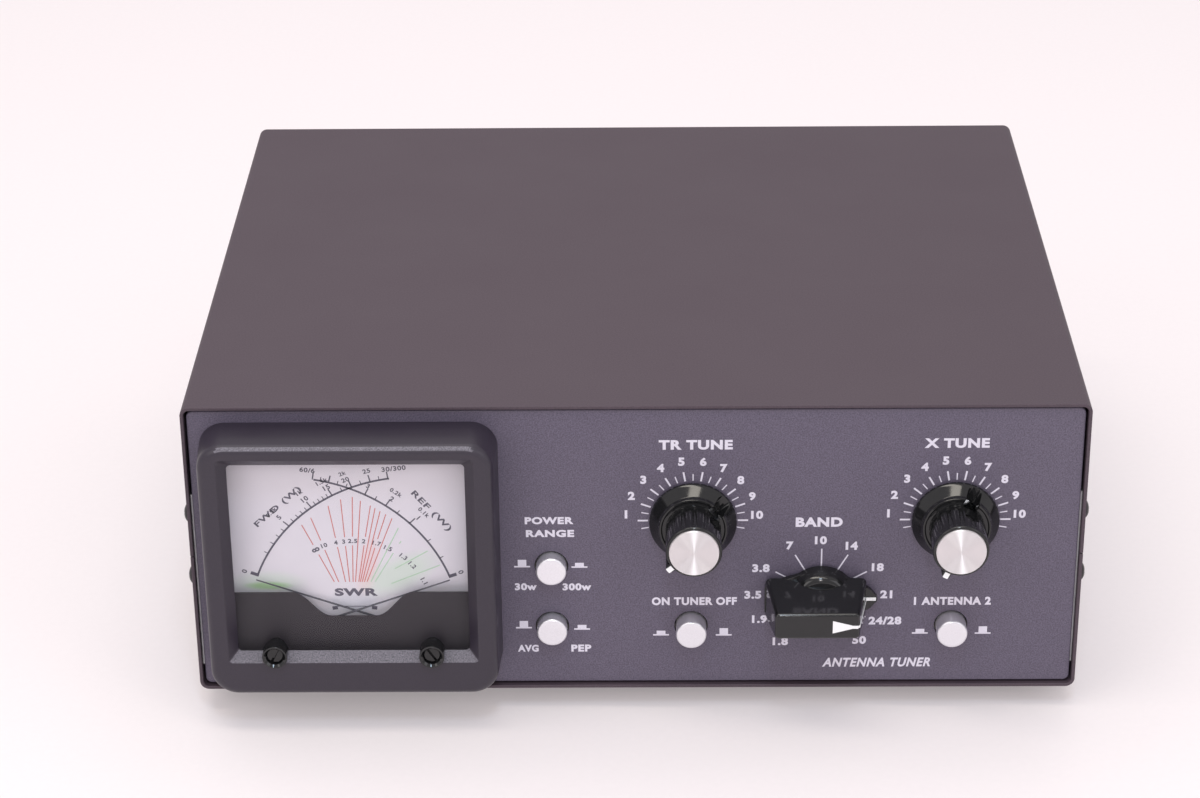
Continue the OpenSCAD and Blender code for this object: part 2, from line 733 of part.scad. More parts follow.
module push_switches() color("#e0ded8") front() for (button = BUTTONS) difference() {
    union() {
        block(button.x - 7, button.x + 7, panel_back, panel_back + 1.2, button.y - 7, button.y + 7);
        block(button.x - 6, button.x + 6, panel_back + 1.2, 26, button.y - 6, button.y + 6);
    }
    rod(button.x, button.y, panel_back - 1, 12, button_r + 0.4);
    block(button.x - 2, button.x + 2, 11, 22, button.y - 2, button.y + 2);
}

// ---- inside, behind the controls ----

function helix_ring(i) = let (a = 360 * i / helix_steps, x = coil_pitch * i / helix_steps)
    [for (j = [0:helix_sides - 1]) let (b = 360 * j / helix_sides, r = coil_mean_r + wire_r * cos(b))
        [x + wire_r * sin(b), r * cos(a), r * sin(a)]];

module helix(turns) {
    rings = turns * helix_steps;
    points = [for (i = [0:rings]) each helix_ring(i)];
    function corner(i, j) = i * helix_sides + j % helix_sides;
    polyhedron(points, concat(
        [[for (j = [helix_sides - 1:-1:0]) j]],
        [for (i = [0:rings - 1], j = [0:helix_sides - 1])
            [corner(i, j + 1), corner(i + 1, j + 1), corner(i + 1, j), corner(i, j)]],
        [[for (j = [0:helix_sides - 1]) corner(rings, j)]]));
}

// an air-wound coil on two insulating posts
module main_coil() color("#c98b5c") front() {
    translate([coil_x - coil_turns * coil_pitch / 2, coil_y, coil_z]) helix(coil_turns);
    for (side = [-1, 1]) translate([coil_x + side * 30, coil_y, 0])
        block(-4, 4, -6, 6, deck_z + deck_t, coil_z - coil_mean_r + 0.5);
}

// a ferrite ring with its winding, standing on the deck
module toroid() color("#7b5238") front() translate([toroid_x, toroid_y, deck_z + deck_t]) {
    translate([0, 0, 1]) rotate_extrude() translate([12, 0]) square([8, 11]);
    for (a = [0:18:359]) rotate([0, 0, a]) translate([10.8, 0, 0]) difference() {
        translate([0, -0.6, 0]) cube([10.4, 1.2, 13]);
        translate([1.1, -1, 0.9]) cube([8.2, 2, 11.2]);
    }
}

module meter_board() color("#3d6b4a") front() translate([-85, 120, deck_z + deck_t]) {
    difference() {
        block(-30, 30, -35, 35, 6, 7.6);
        for (dx = [-26, 26], dy = [-31, 31]) translate([dx, dy, 0]) cylinder(h = 9, r = 1.4);
    }
    for (dx = [-26, 26], dy = [-31, 31]) translate([dx, dy, 0]) cylinder(h = 6, r = 3);
    for (i = [0:4]) block(-22 + i * 10, -17 + i * 10, -20, -8, 7.6, 13);
    translate([10, 15, 7.6]) cylinder(h = 9, r = 8);
}

// ---- rear connectors ----

module socket_corners(x) {
    for (dx = [-1, 1], dz = [-1, 1])
        translate([x + dx * socket_hole_pitch / 2, 0, socket_z + dz * socket_hole_pitch / 2]) children();
}

module coax_sockets() color("#cfd1d4") rear() for (x = socket_xs) difference() {
    union() {
        slab(rear_face, socket_face) translate([x, socket_z]) polygon(rounded(socket_flange, socket_flange, 1.5));
        rod(x, socket_z, rear_face - 5, socket_end, socket_r);
    }
    rod(x, socket_z, rear_face - 6, socket_end + 1, socket_bore);
    socket_corners(x) rod(0, 0, rear_face - 1, socket_face + 1, 1.5);
    for (a = [0, 90]) translate([x, 0, socket_z]) rotate([0, a, 0])
        block(-9, 9, socket_end - 1.6, socket_end + 1, -0.8, 0.8);
}

module socket_insulators() color("#f1f0ea") rear() for (x = socket_xs) difference() {
    rod(x, socket_z, rear_face - 6, socket_end - 4, socket_bore);
    rod(x, socket_z, rear_face - 7, socket_end, 2.7);
}

module socket_contacts() color("#d9c27a") rear() for (x = socket_xs) difference() {
    rod(x, socket_z, rear_face - 12, socket_end - 1.5, 2.7);
    rod(x, socket_z, rear_face + 2, socket_end, 2);
}

// screws of the sockets, the lamp supply jack and the earth stud
module rear_fittings() color("#c3c3c3") rear() {
    for (x = socket_xs) socket_corners(x) translate([0, socket_face, 0]) rotate([-90, 0, 0])
        dome_screw(2.8, 2, 1.5, 6);
    rod(stud_x, socket_z, -8, stud_out, earth_r);
    hex(stud_x, socket_z, rear_face, rear_face + 3, 4.6);
}

// The barrel jack that takes the meter lamps' supply.
module supply_jack() color("#2a2a2c") rear() {
    difference() {
        union() {
            rod(jack_x, socket_z, -14, rear_face, 4);
            rod(jack_x, socket_z, rear_face, rear_face + 2, 5.5);
        }
        rod(jack_x, socket_z, -11, 4, 2.75);
    }
    rod(jack_x, socket_z, -11, -0.5, 1.05);
}

module earth_washer() color("#cfd1d4") rear() difference() {
    rod(stud_x, socket_z, rear_face + 3, rear_face + 4, 5);
    rod(stud_x, socket_z, rear_face + 2, rear_face + 5, earth_r + running);
}

module wing_nut() color("#c9b36a") rear() translate([stud_x, 0, socket_z]) difference() {
    union() {
        rod(0, 0, rear_face + 4, rear_face + 9, 4.4);
        turned(25) for (side = [-1, 1])
            slab(rear_face + 6, rear_face + 10.5) translate([side * 6, 0]) square([9, 1.8], center = true);
    }
    rod(0, 0, rear_face + 3, rear_face + 12, earth_r + running);
}

top_cover();
bottom_cover();
front_panel();
rear_panel();
left_rail();
right_rail();
deck();
cover_screws();
deck_screws();
rubber_feet();
foot_fasteners();
meter_bezel();
meter_window();
meter_mask();
meter_dial();
meter_case();
meter_nuts();
meter_lamps();
forward_needle();
reflected_needle();
forward_movement();
reflected_movement();
forward_zero_screw();
reflected_zero_screw();
tr_knob();
tr_knob_cap();
tr_knob_mark();
tr_set_screw();
tr_rotor();
tr_stator();
tr_frame();
x_knob();
x_knob_cap();
x_knob_mark();
x_set_screw();
x_rotor();
x_stator();
x_frame();
stator_insulators();
band_knob();
band_knob_pointer();
band_rotor();
band_switch();
band_wafers();
control_nuts();
range_button();
average_button();
tuner_button();
antenna_button();
push_switches();
main_coil();
toroid();
meter_board();
coax_sockets();
socket_insulators();
socket_contacts();
rear_fittings();
supply_jack();
earth_washer();
wing_nut();
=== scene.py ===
# %% [markdown]
# # A desktop antenna tuner
# This notebook gives the tuner its looks. The design is already fixed: every part has its place, its size
# and its joint, and Blender only loads them. What shows from outside is then modelled again with bends,
# fillets, flutes and printed scales, and each new piece rides on the body that moves its plain original.
# Everything is in metres in the finished model, but small things are easier to shape in millimetres.

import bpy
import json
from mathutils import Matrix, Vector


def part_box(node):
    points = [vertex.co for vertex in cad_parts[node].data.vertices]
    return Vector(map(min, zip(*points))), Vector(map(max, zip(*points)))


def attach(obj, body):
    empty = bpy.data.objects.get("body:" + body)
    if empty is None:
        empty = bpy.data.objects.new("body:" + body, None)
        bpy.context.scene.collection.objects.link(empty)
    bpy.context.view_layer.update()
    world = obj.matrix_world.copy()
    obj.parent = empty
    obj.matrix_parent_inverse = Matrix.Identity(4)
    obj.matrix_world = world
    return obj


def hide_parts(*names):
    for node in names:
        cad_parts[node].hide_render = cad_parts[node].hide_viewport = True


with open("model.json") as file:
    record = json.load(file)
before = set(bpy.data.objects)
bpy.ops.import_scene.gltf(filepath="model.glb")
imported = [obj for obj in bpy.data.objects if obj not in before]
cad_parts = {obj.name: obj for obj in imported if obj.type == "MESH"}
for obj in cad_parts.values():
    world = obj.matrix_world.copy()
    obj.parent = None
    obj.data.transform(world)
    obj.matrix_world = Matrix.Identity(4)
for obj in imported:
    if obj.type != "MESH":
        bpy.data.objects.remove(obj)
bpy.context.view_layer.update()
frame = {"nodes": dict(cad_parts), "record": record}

# %% Where the case is
import json
import math

import bmesh
import bpy
from mathutils import Matrix, Vector

MM = 0.001
FRONT_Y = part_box("top_cover")[0].y / MM
BACK_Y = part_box("top_cover")[1].y / MM
BOTTOM_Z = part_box("bottom_cover")[0].z / MM
CASE_W = 2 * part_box("top_cover")[1].x / MM
CASE_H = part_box("top_cover")[1].z / MM - BOTTOM_Z
CASE_D = BACK_Y - FRONT_Y
print(f"case {CASE_W:.1f} x {CASE_D:.1f} x {CASE_H:.1f} mm")

# %% [markdown]
# ## Tools for shaping
# A piece is shaped lying at the origin, in millimetres, with its front facing up. It is then scaled, turned
# and moved to its place, and that move is applied, so that the finished object sits at the origin. The
# helpers below only wrap what you would do by hand: add a primitive, go to edit mode, select, and extrude.

# %% Selecting and placing
FACING = {
    "up": (0, 0, 0),
    "down": (math.pi, 0, 0),
    "front": (math.pi / 2, 0, 0),
    "rear": (math.pi / 2, 0, math.pi),
    "left": (math.pi / 2, 0, -math.pi / 2),
    "right": (math.pi / 2, 0, math.pi / 2),
}


def alone(piece):
    if bpy.context.object and bpy.context.object.mode == "EDIT":
        bpy.ops.object.mode_set(mode="OBJECT")
    bpy.ops.object.select_all(action="DESELECT")
    piece.select_set(True)
    bpy.context.view_layer.objects.active = piece


def clear():
    if bpy.context.object and bpy.context.object.mode == "EDIT":
        bpy.ops.object.mode_set(mode="OBJECT")
    bpy.ops.object.select_all(action="DESELECT")
    bpy.context.tool_settings.mesh_select_mode = (True, False, False)


def named(name):
    """Gives the shape that was just added its name."""
    piece = bpy.context.object
    piece.name = piece.data.name = name
    return piece


def edit(piece):
    alone(piece)
    bpy.ops.object.mode_set(mode="EDIT")


def extrude(rise):
    bpy.ops.mesh.extrude_region_move(TRANSFORM_OT_translate={"value": (0, 0, rise)})


def close_up():
    """Turns every face outwards and leaves edit mode."""
    bpy.ops.mesh.select_all(action="SELECT")
    bpy.ops.mesh.normals_make_consistent(inside=False)
    bpy.ops.object.mode_set(mode="OBJECT")


def pick(piece, kind, test):
    """Selects the faces, edges or vertices whose middle passes a test, in edit mode."""
    bpy.ops.mesh.select_mode(type=kind)
    bpy.ops.mesh.select_all(action="DESELECT")
    mesh = bmesh.from_edit_mesh(piece.data)
    for item in {"FACE": mesh.faces, "EDGE": mesh.edges, "VERT": mesh.verts}[kind]:
        if kind == "FACE":
            chosen = test(item.calc_center_median(), item.normal)
        elif kind == "EDGE":
            chosen = test(*[v.co for v in item.verts])
        else:
            chosen = test(item.co)
        item.select_set(bool(chosen))
    mesh.select_flush_mode()
    bmesh.update_edit_mesh(piece.data)


def outward_normals(piece):
    edit(piece)
    bpy.ops.mesh.select_all(action="SELECT")
    bpy.ops.mesh.remove_doubles(threshold=0.0005)
    bpy.ops.mesh.normals_make_consistent(inside=False)
    bpy.ops.object.mode_set(mode="OBJECT")


def place(piece, x, y, z, facing="front", turn=0):
    """Turns the piece in its own plane, makes it face a side and moves it, in the part's millimetres."""
    alone(piece)
    piece.matrix_world = (
        Matrix.Translation(Vector((x, y, z)) * MM)
        @ Matrix.Rotation(FACING[facing][2], 4, "Z")
        @ Matrix.Rotation(FACING[facing][0], 4, "X")
        @ Matrix.Rotation(math.radians(turn), 4, "Z")
        @ Matrix.Scale(MM, 4)
    )
    bpy.ops.object.transform_apply(location=True, rotation=True, scale=True)
    return piece


def on_front(piece, x, z, y=0.0, turn=0):
    return place(piece, x, FRONT_Y + y, BOTTOM_Z + z, "front", turn)


def joined(pieces, name):
    alone(pieces[0])
    for piece in pieces:
        piece.select_set(True)
    bpy.ops.object.join()
    return named(name)


def copied(piece):
    twin = piece.copy()
    twin.data = piece.data.copy()
    bpy.context.scene.collection.objects.link(twin)
    return twin


# %% Turned, flat and cut shapes
def arc(r, z, radius, start, end, steps=5):
    """Rings of a fillet: points on a circle round (r, z), from one angle to another."""
    angles = [math.radians(start + (end - start) * i / steps) for i in range(steps + 1)]
    return [(r + radius * math.cos(a), z + radius * math.sin(a)) for a in angles]


def turned(name, rings, sides=96):
    """Draws a round shape up from its first ring: each ring is an extrusion, then a change of size."""
    clear()
    r_now, z_now = rings[0]
    bpy.ops.mesh.primitive_circle_add(vertices=sides, radius=r_now, fill_type="NGON", location=(0, 0, z_now))
    piece = named(name)
    bpy.ops.object.transform_apply(location=True, rotation=False, scale=False)
    bpy.ops.object.mode_set(mode="EDIT")
    bpy.ops.mesh.select_all(action="SELECT")
    for r, z in rings[1:]:
        extrude(z - z_now)
        bpy.ops.transform.resize(value=(r / r_now, r / r_now, 1), center_override=(0, 0, z))
        r_now, z_now = r, z
    close_up()
    return piece


def slab(name, width, height, corner, thickness, segments=8):
    """A flat plate with round corners, lying on z = 0."""
    clear()
    bpy.ops.mesh.primitive_plane_add(size=1, enter_editmode=True)
    piece = named(name)
    bpy.ops.transform.resize(value=(width, height, 1))
    if corner:
        bpy.ops.mesh.bevel(offset=corner, segments=segments, affect="VERTICES")
    bpy.ops.mesh.select_all(action="SELECT")
    extrude(thickness)
    close_up()
    return piece


def moved(piece, x=0.0, y=0.0, z=0.0, turn=0.0, tip=0.0):
    """Tips a shape about X, turns it about Z and moves it, while it is still in millimetres."""
    alone(piece)
    turning = Matrix.Rotation(math.radians(turn), 4, "Z") @ Matrix.Rotation(math.radians(tip), 4, "X")
    piece.matrix_world = Matrix.Translation((x, y, z)) @ turning
    bpy.ops.object.transform_apply(location=True, rotation=True, scale=True)
    return piece


def modified(piece, kind, **settings):
    """Gives the piece a modifier with these settings, and applies it."""
    alone(piece)
    modifier = piece.modifiers.new(kind, kind)
    for setting, value in settings.items():
        setattr(modifier, setting, value)
    bpy.ops.object.modifier_apply(modifier=modifier.name)
    return piece


def combine(piece, tool, operation="DIFFERENCE"):
    """Cuts the tool's shape out of the piece, or adds it."""
    modified(piece, "BOOLEAN", operation=operation, solver="EXACT", object=tool)
    bpy.data.objects.remove(tool)
    return piece


def eased(piece, width=0.15, segments=2, angle=35):
    """Rounds the sharp edges a little, because a perfectly sharp edge never catches the light."""
    return modified(piece, "BEVEL", width=width, segments=segments, limit_method="ANGLE",
                    angle_limit=math.radians(angle), harden_normals=False)


print("shaping tools are ready")

# %% [markdown]
# ## Finishes
# A finish is a Principled shader with something on top that is never quite even: grain, dust or wear. The
# patterns are noise on Object coordinates. Every finished object sits at the origin, so these coordinates
# are metres in the real world, and a noise scale of 1000 divided by a size in millimetres gives a grain of
# that size.


# %% Building a finish from nodes
FINISHES = {}


def new_finish(name):
    material = FINISHES[name] = bpy.data.materials.new(name)
    material.use_nodes = True
    nodes, links = material.node_tree.nodes, material.node_tree.links
    return material, nodes, links, nodes["Principled BSDF"]


def mapped(nodes, links, kind, vector_type="POINT", **values):
    """A texture on Object coordinates that are moved, turned or scaled first."""
    coordinates = nodes.new("ShaderNodeTexCoord")
    mapping = nodes.new("ShaderNodeMapping")
    mapping.vector_type = vector_type
    for name, value in values.items():
        mapping.inputs[name].default_value = value
    texture = nodes.new(kind)
    links.new(coordinates.outputs["Object"], mapping.inputs["Vector"])
    links.new(mapping.outputs["Vector"], texture.inputs["Vector"])
    return texture


def noise(nodes, links, grain_mm, detail=2.0, squeeze=(1, 1, 1)):
    texture = mapped(nodes, links, "ShaderNodeTexNoise", Scale=squeeze)
    texture.inputs["Scale"].default_value = 1 / (grain_mm * MM)
    texture.inputs["Detail"].default_value = detail
    return texture.outputs["Fac"]


def between(nodes, links, factor, low, high, start=0.3, end=0.7):
    """Maps a pattern to a range of numbers."""
    spread = nodes.new("ShaderNodeMapRange")
    spread.inputs["From Min"].default_value = start
    spread.inputs["From Max"].default_value = end
    spread.inputs["To Min"].default_value = low
    spread.inputs["To Max"].default_value = high
    links.new(factor, spread.inputs["Value"])
    return spread.outputs["Result"]


def tinted(nodes, links, factor, first, second):
    mix = nodes.new("ShaderNodeMix")
    mix.data_type = "RGBA"
    mix.inputs["A"].default_value = (*first, 1)
    mix.inputs["B"].default_value = (*second, 1)
    links.new(factor, mix.inputs["Factor"])
    return mix.outputs["Result"]


def bumped(nodes, links, height, depth_mm, strength=1.0):
    bump = nodes.new("ShaderNodeBump")
    bump.inputs["Strength"].default_value = strength
    bump.inputs["Distance"].default_value = depth_mm * MM
    links.new(height, bump.inputs["Height"])
    return bump.outputs["Normal"]


def shade(colour, factor):
    return tuple(min(1.0, c * factor) for c in colour)


def finish(name, colour, rough=(0.4, 0.5), grain=0.5, depth=0.01, contrast=0.08, metallic=0.0,
           patch=12, squeeze=(1, 1, 1), **sockets):
    """A finish whose colour, roughness and surface vary: fine grain for the surface, patches for dust."""
    material, nodes, links, shader = new_finish(name)
    fine = noise(nodes, links, grain, 3.0, squeeze)
    broad = noise(nodes, links, patch, 4.0)
    spread = between(nodes, links, fine, 0, 1)
    links.new(tinted(nodes, links, spread, shade(colour, 1 - contrast), shade(colour, 1 + contrast)),
              shader.inputs["Base Color"])
    links.new(between(nodes, links, broad, *rough), shader.inputs["Roughness"])
    if depth:
        links.new(bumped(nodes, links, fine, depth), shader.inputs["Normal"])
    shader.inputs["Metallic"].default_value = metallic
    for socket, value in sockets.items():
        shader.inputs[socket.replace("_", " ")].default_value = value
    return material


# %% [markdown]
# ### The case's paint
# The covers are a matt grey-brown crackle paint, and the panels a smoother violet-grey with fine speckles.
# Both are two noises: one a third of a millimetre wide makes the tooth of the paint and its speckle, and
# one some centimetres wide makes the faint unevenness of a sprayed sheet.

# %% Paints and plastics
COVER_COLOUR = (0.063, 0.043, 0.057)
PANEL_COLOUR = (0.103, 0.087, 0.127)
cover_paint = finish("cover_paint", COVER_COLOUR, (0.58, 0.63), 0.45, 0.035, 0.16, patch=30)
panel_paint = finish("panel_paint", PANEL_COLOUR, (0.48, 0.58), 0.36, 0.030, 0.34, patch=25)
bezel_plastic = finish("bezel_plastic", (0.027, 0.021, 0.033), (0.32, 0.40), 0.34, 0.018, 0.14)
# painted light: a lighter copy of the bezel's plastic for the slope that faces up, as if lit from above
frosted_slope_painted_light = finish("frosted_slope_painted_light", (0.13, 0.12, 0.145), (0.5, 0.62), 0.36, 0.03, 0.55)
mask_plastic = finish("mask_plastic", (0.032, 0.026, 0.033), (0.5, 0.6), 0.30, 0, 0.06,
                      Specular_IOR_Level=0.3)
inner_plastic = finish("inner_plastic", (0.03, 0.03, 0.032), (0.45, 0.6), 0.6, 0.01)
knob_plastic = finish("knob_plastic", (0.010, 0.010, 0.011), (0.06, 0.13), 0.9, 0.0012, 0.15, patch=6)
white_fill = finish("white_fill", (0.86, 0.86, 0.87), (0.35, 0.45), 0.4, 0.003, 0.03)
legend_ink = finish("legend_ink", (0.68, 0.65, 0.74), (0.5, 0.6), 0.3, 0.004, 0.06)
button_paint = finish("button_paint", (0.80, 0.79, 0.83), (0.30, 0.38), 0.25, 0.004, 0.04, 0.8)
foot_rubber = finish("foot_rubber", (0.022, 0.022, 0.023), (0.75, 0.9), 0.7, 0.03, 0.2)
socket_white = finish("socket_white", (0.80, 0.79, 0.75), (0.3, 0.4), 0.6, 0.004, 0.03)
switch_plastic = finish("switch_plastic", (0.72, 0.70, 0.65), (0.4, 0.5), 0.6, 0.008, 0.04)
circuit_board = finish("circuit_board", (0.04, 0.17, 0.07), (0.25, 0.4), 1.2, 0.02, 0.15)
ceramic = finish("ceramic", (0.76, 0.73, 0.65), (0.5, 0.65), 0.5, 0.02, 0.05)
print("paints and plastics")

# %% [markdown]
# ### Metals
# Plated steel is bright with a slight cloud in its roughness. Black screws are steel with a dark oxide.
# Copper wire, brass and nickel only differ in colour and in how sharp their reflections are.

# %% Metals
plated_steel = finish("plated_steel", (0.60, 0.61, 0.63), (0.22, 0.36), 0.8, 0.004, 0.06, 1.0, 8)
chassis_steel = finish("chassis_steel", (0.55, 0.56, 0.58), (0.32, 0.5), 1.5, 0.01, 0.08, 1.0, 20)
black_screw = finish("black_screw", (0.035, 0.034, 0.036), (0.28, 0.42), 0.5, 0.006, 0.15, 0.6)
plate_aluminium = finish("plate_aluminium", (0.72, 0.73, 0.74), (0.25, 0.4), 0.6, 0.005, 0.05, 1.0, 15,
                         (1, 8, 8))
copper_wire = finish("copper_wire", (0.70, 0.33, 0.18), (0.16, 0.3), 0.7, 0.004, 0.08, 1.0)
magnet_iron = finish("magnet_iron", (0.22, 0.23, 0.25), (0.4, 0.6), 0.7, 0.03, 0.15, 0.8)
nickel = finish("nickel", (0.66, 0.65, 0.62), (0.12, 0.24), 0.9, 0.002, 0.04, 1.0, 5)
contact_gold = finish("contact_gold", (0.82, 0.62, 0.28), (0.15, 0.28), 0.6, 0.003, 0.05, 1.0, 4)
nut_brass = finish("nut_brass", (0.72, 0.55, 0.26), (0.2, 0.38), 0.5, 0.01, 0.1, 1.0, 4)
needle_lacquer = finish("needle_lacquer", (0.09, 0.09, 0.11), (0.3, 0.4), 0.3, 0.001, 0.1)
print("metals")

# %% [markdown]
# ### Special finishes
# The knob caps are aluminium that was faced on a lathe. The fine rings of the tool scatter light across
# themselves, which draws a bright wedge over the disc. So the shader is anisotropic, with a tangent that runs
# round the knob's axis and is turned a quarter, and a faint ring pattern is its bump. The window is thin clear
# acrylic: mostly see-through, with a faint haze and a sharp reflection.

# %% Turned aluminium, window and lamp glass
LATHE_PITCH = 0.35
WAVE_RATE = 20  # radians that Blender's wave texture adds per unit of its coordinate


def turned_metal(name, x, z):
    """Aluminium with fine rings round an axis that runs along Y through (x, z) millimetres."""
    material, nodes, links, shader = new_finish(name)
    rings = mapped(nodes, links, "ShaderNodeTexWave", Location=(-x * MM, 0, -z * MM))
    rings.wave_type = "RINGS"
    rings.rings_direction = "Y"
    rings.inputs["Scale"].default_value = 2 * math.pi / (WAVE_RATE * LATHE_PITCH * MM)
    rings.inputs["Distortion"].default_value = 1.5
    links.new(bumped(nodes, links, rings.outputs["Fac"], 0.002), shader.inputs["Normal"])
    shader.inputs["Metallic"].default_value = 1.0
    shader.inputs["Base Color"].default_value = (0.88, 0.85, 0.86, 1)
    shader.inputs["Anisotropic"].default_value = 0.95
    shader.inputs["Anisotropic Rotation"].default_value = 0.25
    tangent = nodes.new("ShaderNodeTangent")
    tangent.direction_type = "RADIAL"
    tangent.axis = "Y"
    links.new(tangent.outputs["Tangent"], shader.inputs["Tangent"])
    links.new(between(nodes, links, noise(nodes, links, 0.4), 0.48, 0.54), shader.inputs["Roughness"])
    return material


def clear_sheet(name, colour, alpha, rough):
    material, nodes, links, shader = new_finish(name)
    shader.inputs["Base Color"].default_value = (*colour, 1)
    shader.inputs["Alpha"].default_value = alpha
    shader.inputs["Specular IOR Level"].default_value = 0.9
    links.new(between(nodes, links, noise(nodes, links, 9), *rough), shader.inputs["Roughness"])
    return material


cap_finishes = {}
for side in ("tr", "x"):
    low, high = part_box(f"{side}_knob_cap")
    middle = (low + high) / 2 / MM
    cap_finishes[side] = turned_metal(f"{side}_cap_metal", middle.x, middle.z)
window_acrylic = clear_sheet("window_acrylic", (0.10, 0.10, 0.11), 0.06, (0.03, 0.07))
lamp_glass = clear_sheet("lamp_glass", (1.0, 0.93, 0.78), 0.4, (0.05, 0.1))
print("turned aluminium, acrylic and lamp glass")

# %% [markdown]
# ## Fitting a piece to the model
# A finished piece gets its finish, smooth shading with crisp corners and the body it rides on, and the CAD
# nodes it stands for are hidden. The CAD nodes that stay, most of them inside the case, only get a finish.


def fit(piece, body, slot, material, *nodes, angle=35):
    alone(piece)
    bpy.ops.object.shade_smooth_by_angle(angle=math.radians(angle))
    modified(piece, "WEIGHTED_NORMAL", keep_sharp=True)
    piece.data.materials.clear()
    piece.data.materials.append(material)
    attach(piece, body)
    if nodes:
        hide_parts(*nodes)
    print(f"{piece.name}: {len(piece.data.polygons)} faces, rides on {body}")
    return piece


# %% [markdown]
# ## The case
# Each cover is one steel sheet with two bends. Three faces of a box give the bent sheet: the long edges are
# bevelled with the bend's radius, Solidify gives the sheet its thickness inwards, and a small bevel eases
# the cut edges, which shows as a thin bright line round the front.

# %% Covers
COVER_T = 1.0
BEND_R = 2.6
SEAM_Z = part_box("top_cover")[0].z / MM - BOTTOM_Z


def cover(name, height):
    """An upside-down channel that stands on z = 0."""
    clear()
    bpy.ops.mesh.primitive_cube_add(size=1, enter_editmode=True)
    piece = named(name)
    bpy.ops.transform.resize(value=(CASE_W, CASE_D, height))
    bpy.ops.transform.translate(value=(0, 0, height / 2))
    pick(piece, "FACE", lambda middle, normal: abs(normal.y) > 0.5 or normal.z < -0.5)
    bpy.ops.mesh.delete(type="FACE")
    pick(piece, "EDGE", lambda a, b: min(a.z, b.z) > height - 0.01 and abs(a.x - b.x) < 0.01)
    bpy.ops.mesh.bevel(offset=BEND_R, segments=10, affect="EDGES")
    bpy.ops.object.mode_set(mode="OBJECT")
    modified(piece, "SOLIDIFY", thickness=COVER_T, offset=-1, use_even_offset=True)
    return eased(piece, 0.22, 3, 60)


middle_y = (FRONT_Y + BACK_Y) / 2
top_cover = place(cover("top_cover_sheet", CASE_H - SEAM_Z), 0, middle_y, BOTTOM_Z + SEAM_Z, "up")
bottom_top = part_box("bottom_cover")[1].z / MM
bottom_cover = place(cover("bottom_cover_sheet", bottom_top - BOTTOM_Z), 0, middle_y, bottom_top, "down")
fit(top_cover, "case", "cover_paint", cover_paint, "top_cover")
fit(bottom_cover, "case", "cover_paint", cover_paint, "bottom_cover")

# %% [markdown]
# ## Front and rear panels
# A panel is a plate with round corners, folded back along its top and bottom. Its holes are cut with round
# bars, as a punch would. The front panel's rim is rounded more than the rest, because its top edge shows
# as a pale line under the cover.

# %% Panels
PANEL_T = 1.5
PANEL_GAP = 0.6
PANEL_FACE = 1.0
PANEL_W = CASE_W - 2 * (COVER_T + PANEL_GAP)
PANEL_H = CASE_H - 2 * (COVER_T + PANEL_GAP)


def bar(x, y, radius, low, high, sides=48):
    return moved(turned("bar", [(radius, low), (radius, high)], sides), x, y)


def panel(name, holes):
    """A panel whose face is at z = 0, centred, with its folded edges behind it."""
    plate = moved(slab(name, PANEL_W, PANEL_H, 1.8, PANEL_T), z=-PANEL_T)
    edit(plate)
    pick(plate, "EDGE", lambda a, b: abs(a.z) < 0.01 and abs(b.z) < 0.01)
    bpy.ops.mesh.bevel(offset=0.45, segments=4, affect="EDGES")
    bpy.ops.object.mode_set(mode="OBJECT")
    for x, y, radius in holes:
        combine(plate, bar(x, y, radius, -5, 5))
    return plate


def with_folds(plate, name):
    folds = []
    for side in (-1, 1):
        fold = slab("fold", PANEL_W - 8, PANEL_T, 0, 8.0)
        folds.append(moved(fold, 0, side * (PANEL_H - PANEL_T) / 2, -PANEL_T - 8.0))
    return joined([plate, *folds], name)


def centre_of(node):
    low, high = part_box(node)
    return (low.x + high.x) / 2 / MM, (low.z + high.z) / 2 / MM - BOTTOM_Z


BUTTON_HOLE_R, BUSHING_HOLE_R = 4.75, 4.7
METER_X, METER_Z = centre_of("meter_case")
BUTTONS = {f"{use}_button": centre_of(f"{use}_button") for use in ("range", "average", "tuner", "antenna")}
KNOBS = {}
for joint in frame["record"]["behaviour"]["joints"]:
    if joint["name"] in ("tr_turn", "x_turn", "band_turn"):
        KNOBS[joint["name"]] = (joint["pos_m"][0] / MM, joint["pos_m"][2] / MM - BOTTOM_Z)
holes = [(x, z - CASE_H / 2, BUTTON_HOLE_R) for x, z in BUTTONS.values()]
holes += [(x, z - CASE_H / 2, BUSHING_HOLE_R) for x, z in KNOBS.values()]
front_panel = panel("front_plate", holes)
meter_hole = moved(slab("meter_hole", 75.4, 70.4, 2, 9), METER_X, METER_Z - CASE_H / 2, -5)
front_panel = with_folds(combine(front_panel, meter_hole), "front_panel_plate")
on_front(front_panel, 0, CASE_H / 2, PANEL_FACE)
fit(front_panel, "case", "panel_paint", panel_paint, "front_panel")

# %% [markdown]
# The rear panel carries three coaxial sockets, the lamp supply jack and the earth stud. Its holes go round
# the parts that stand in it. Seen from behind, X runs the other way.

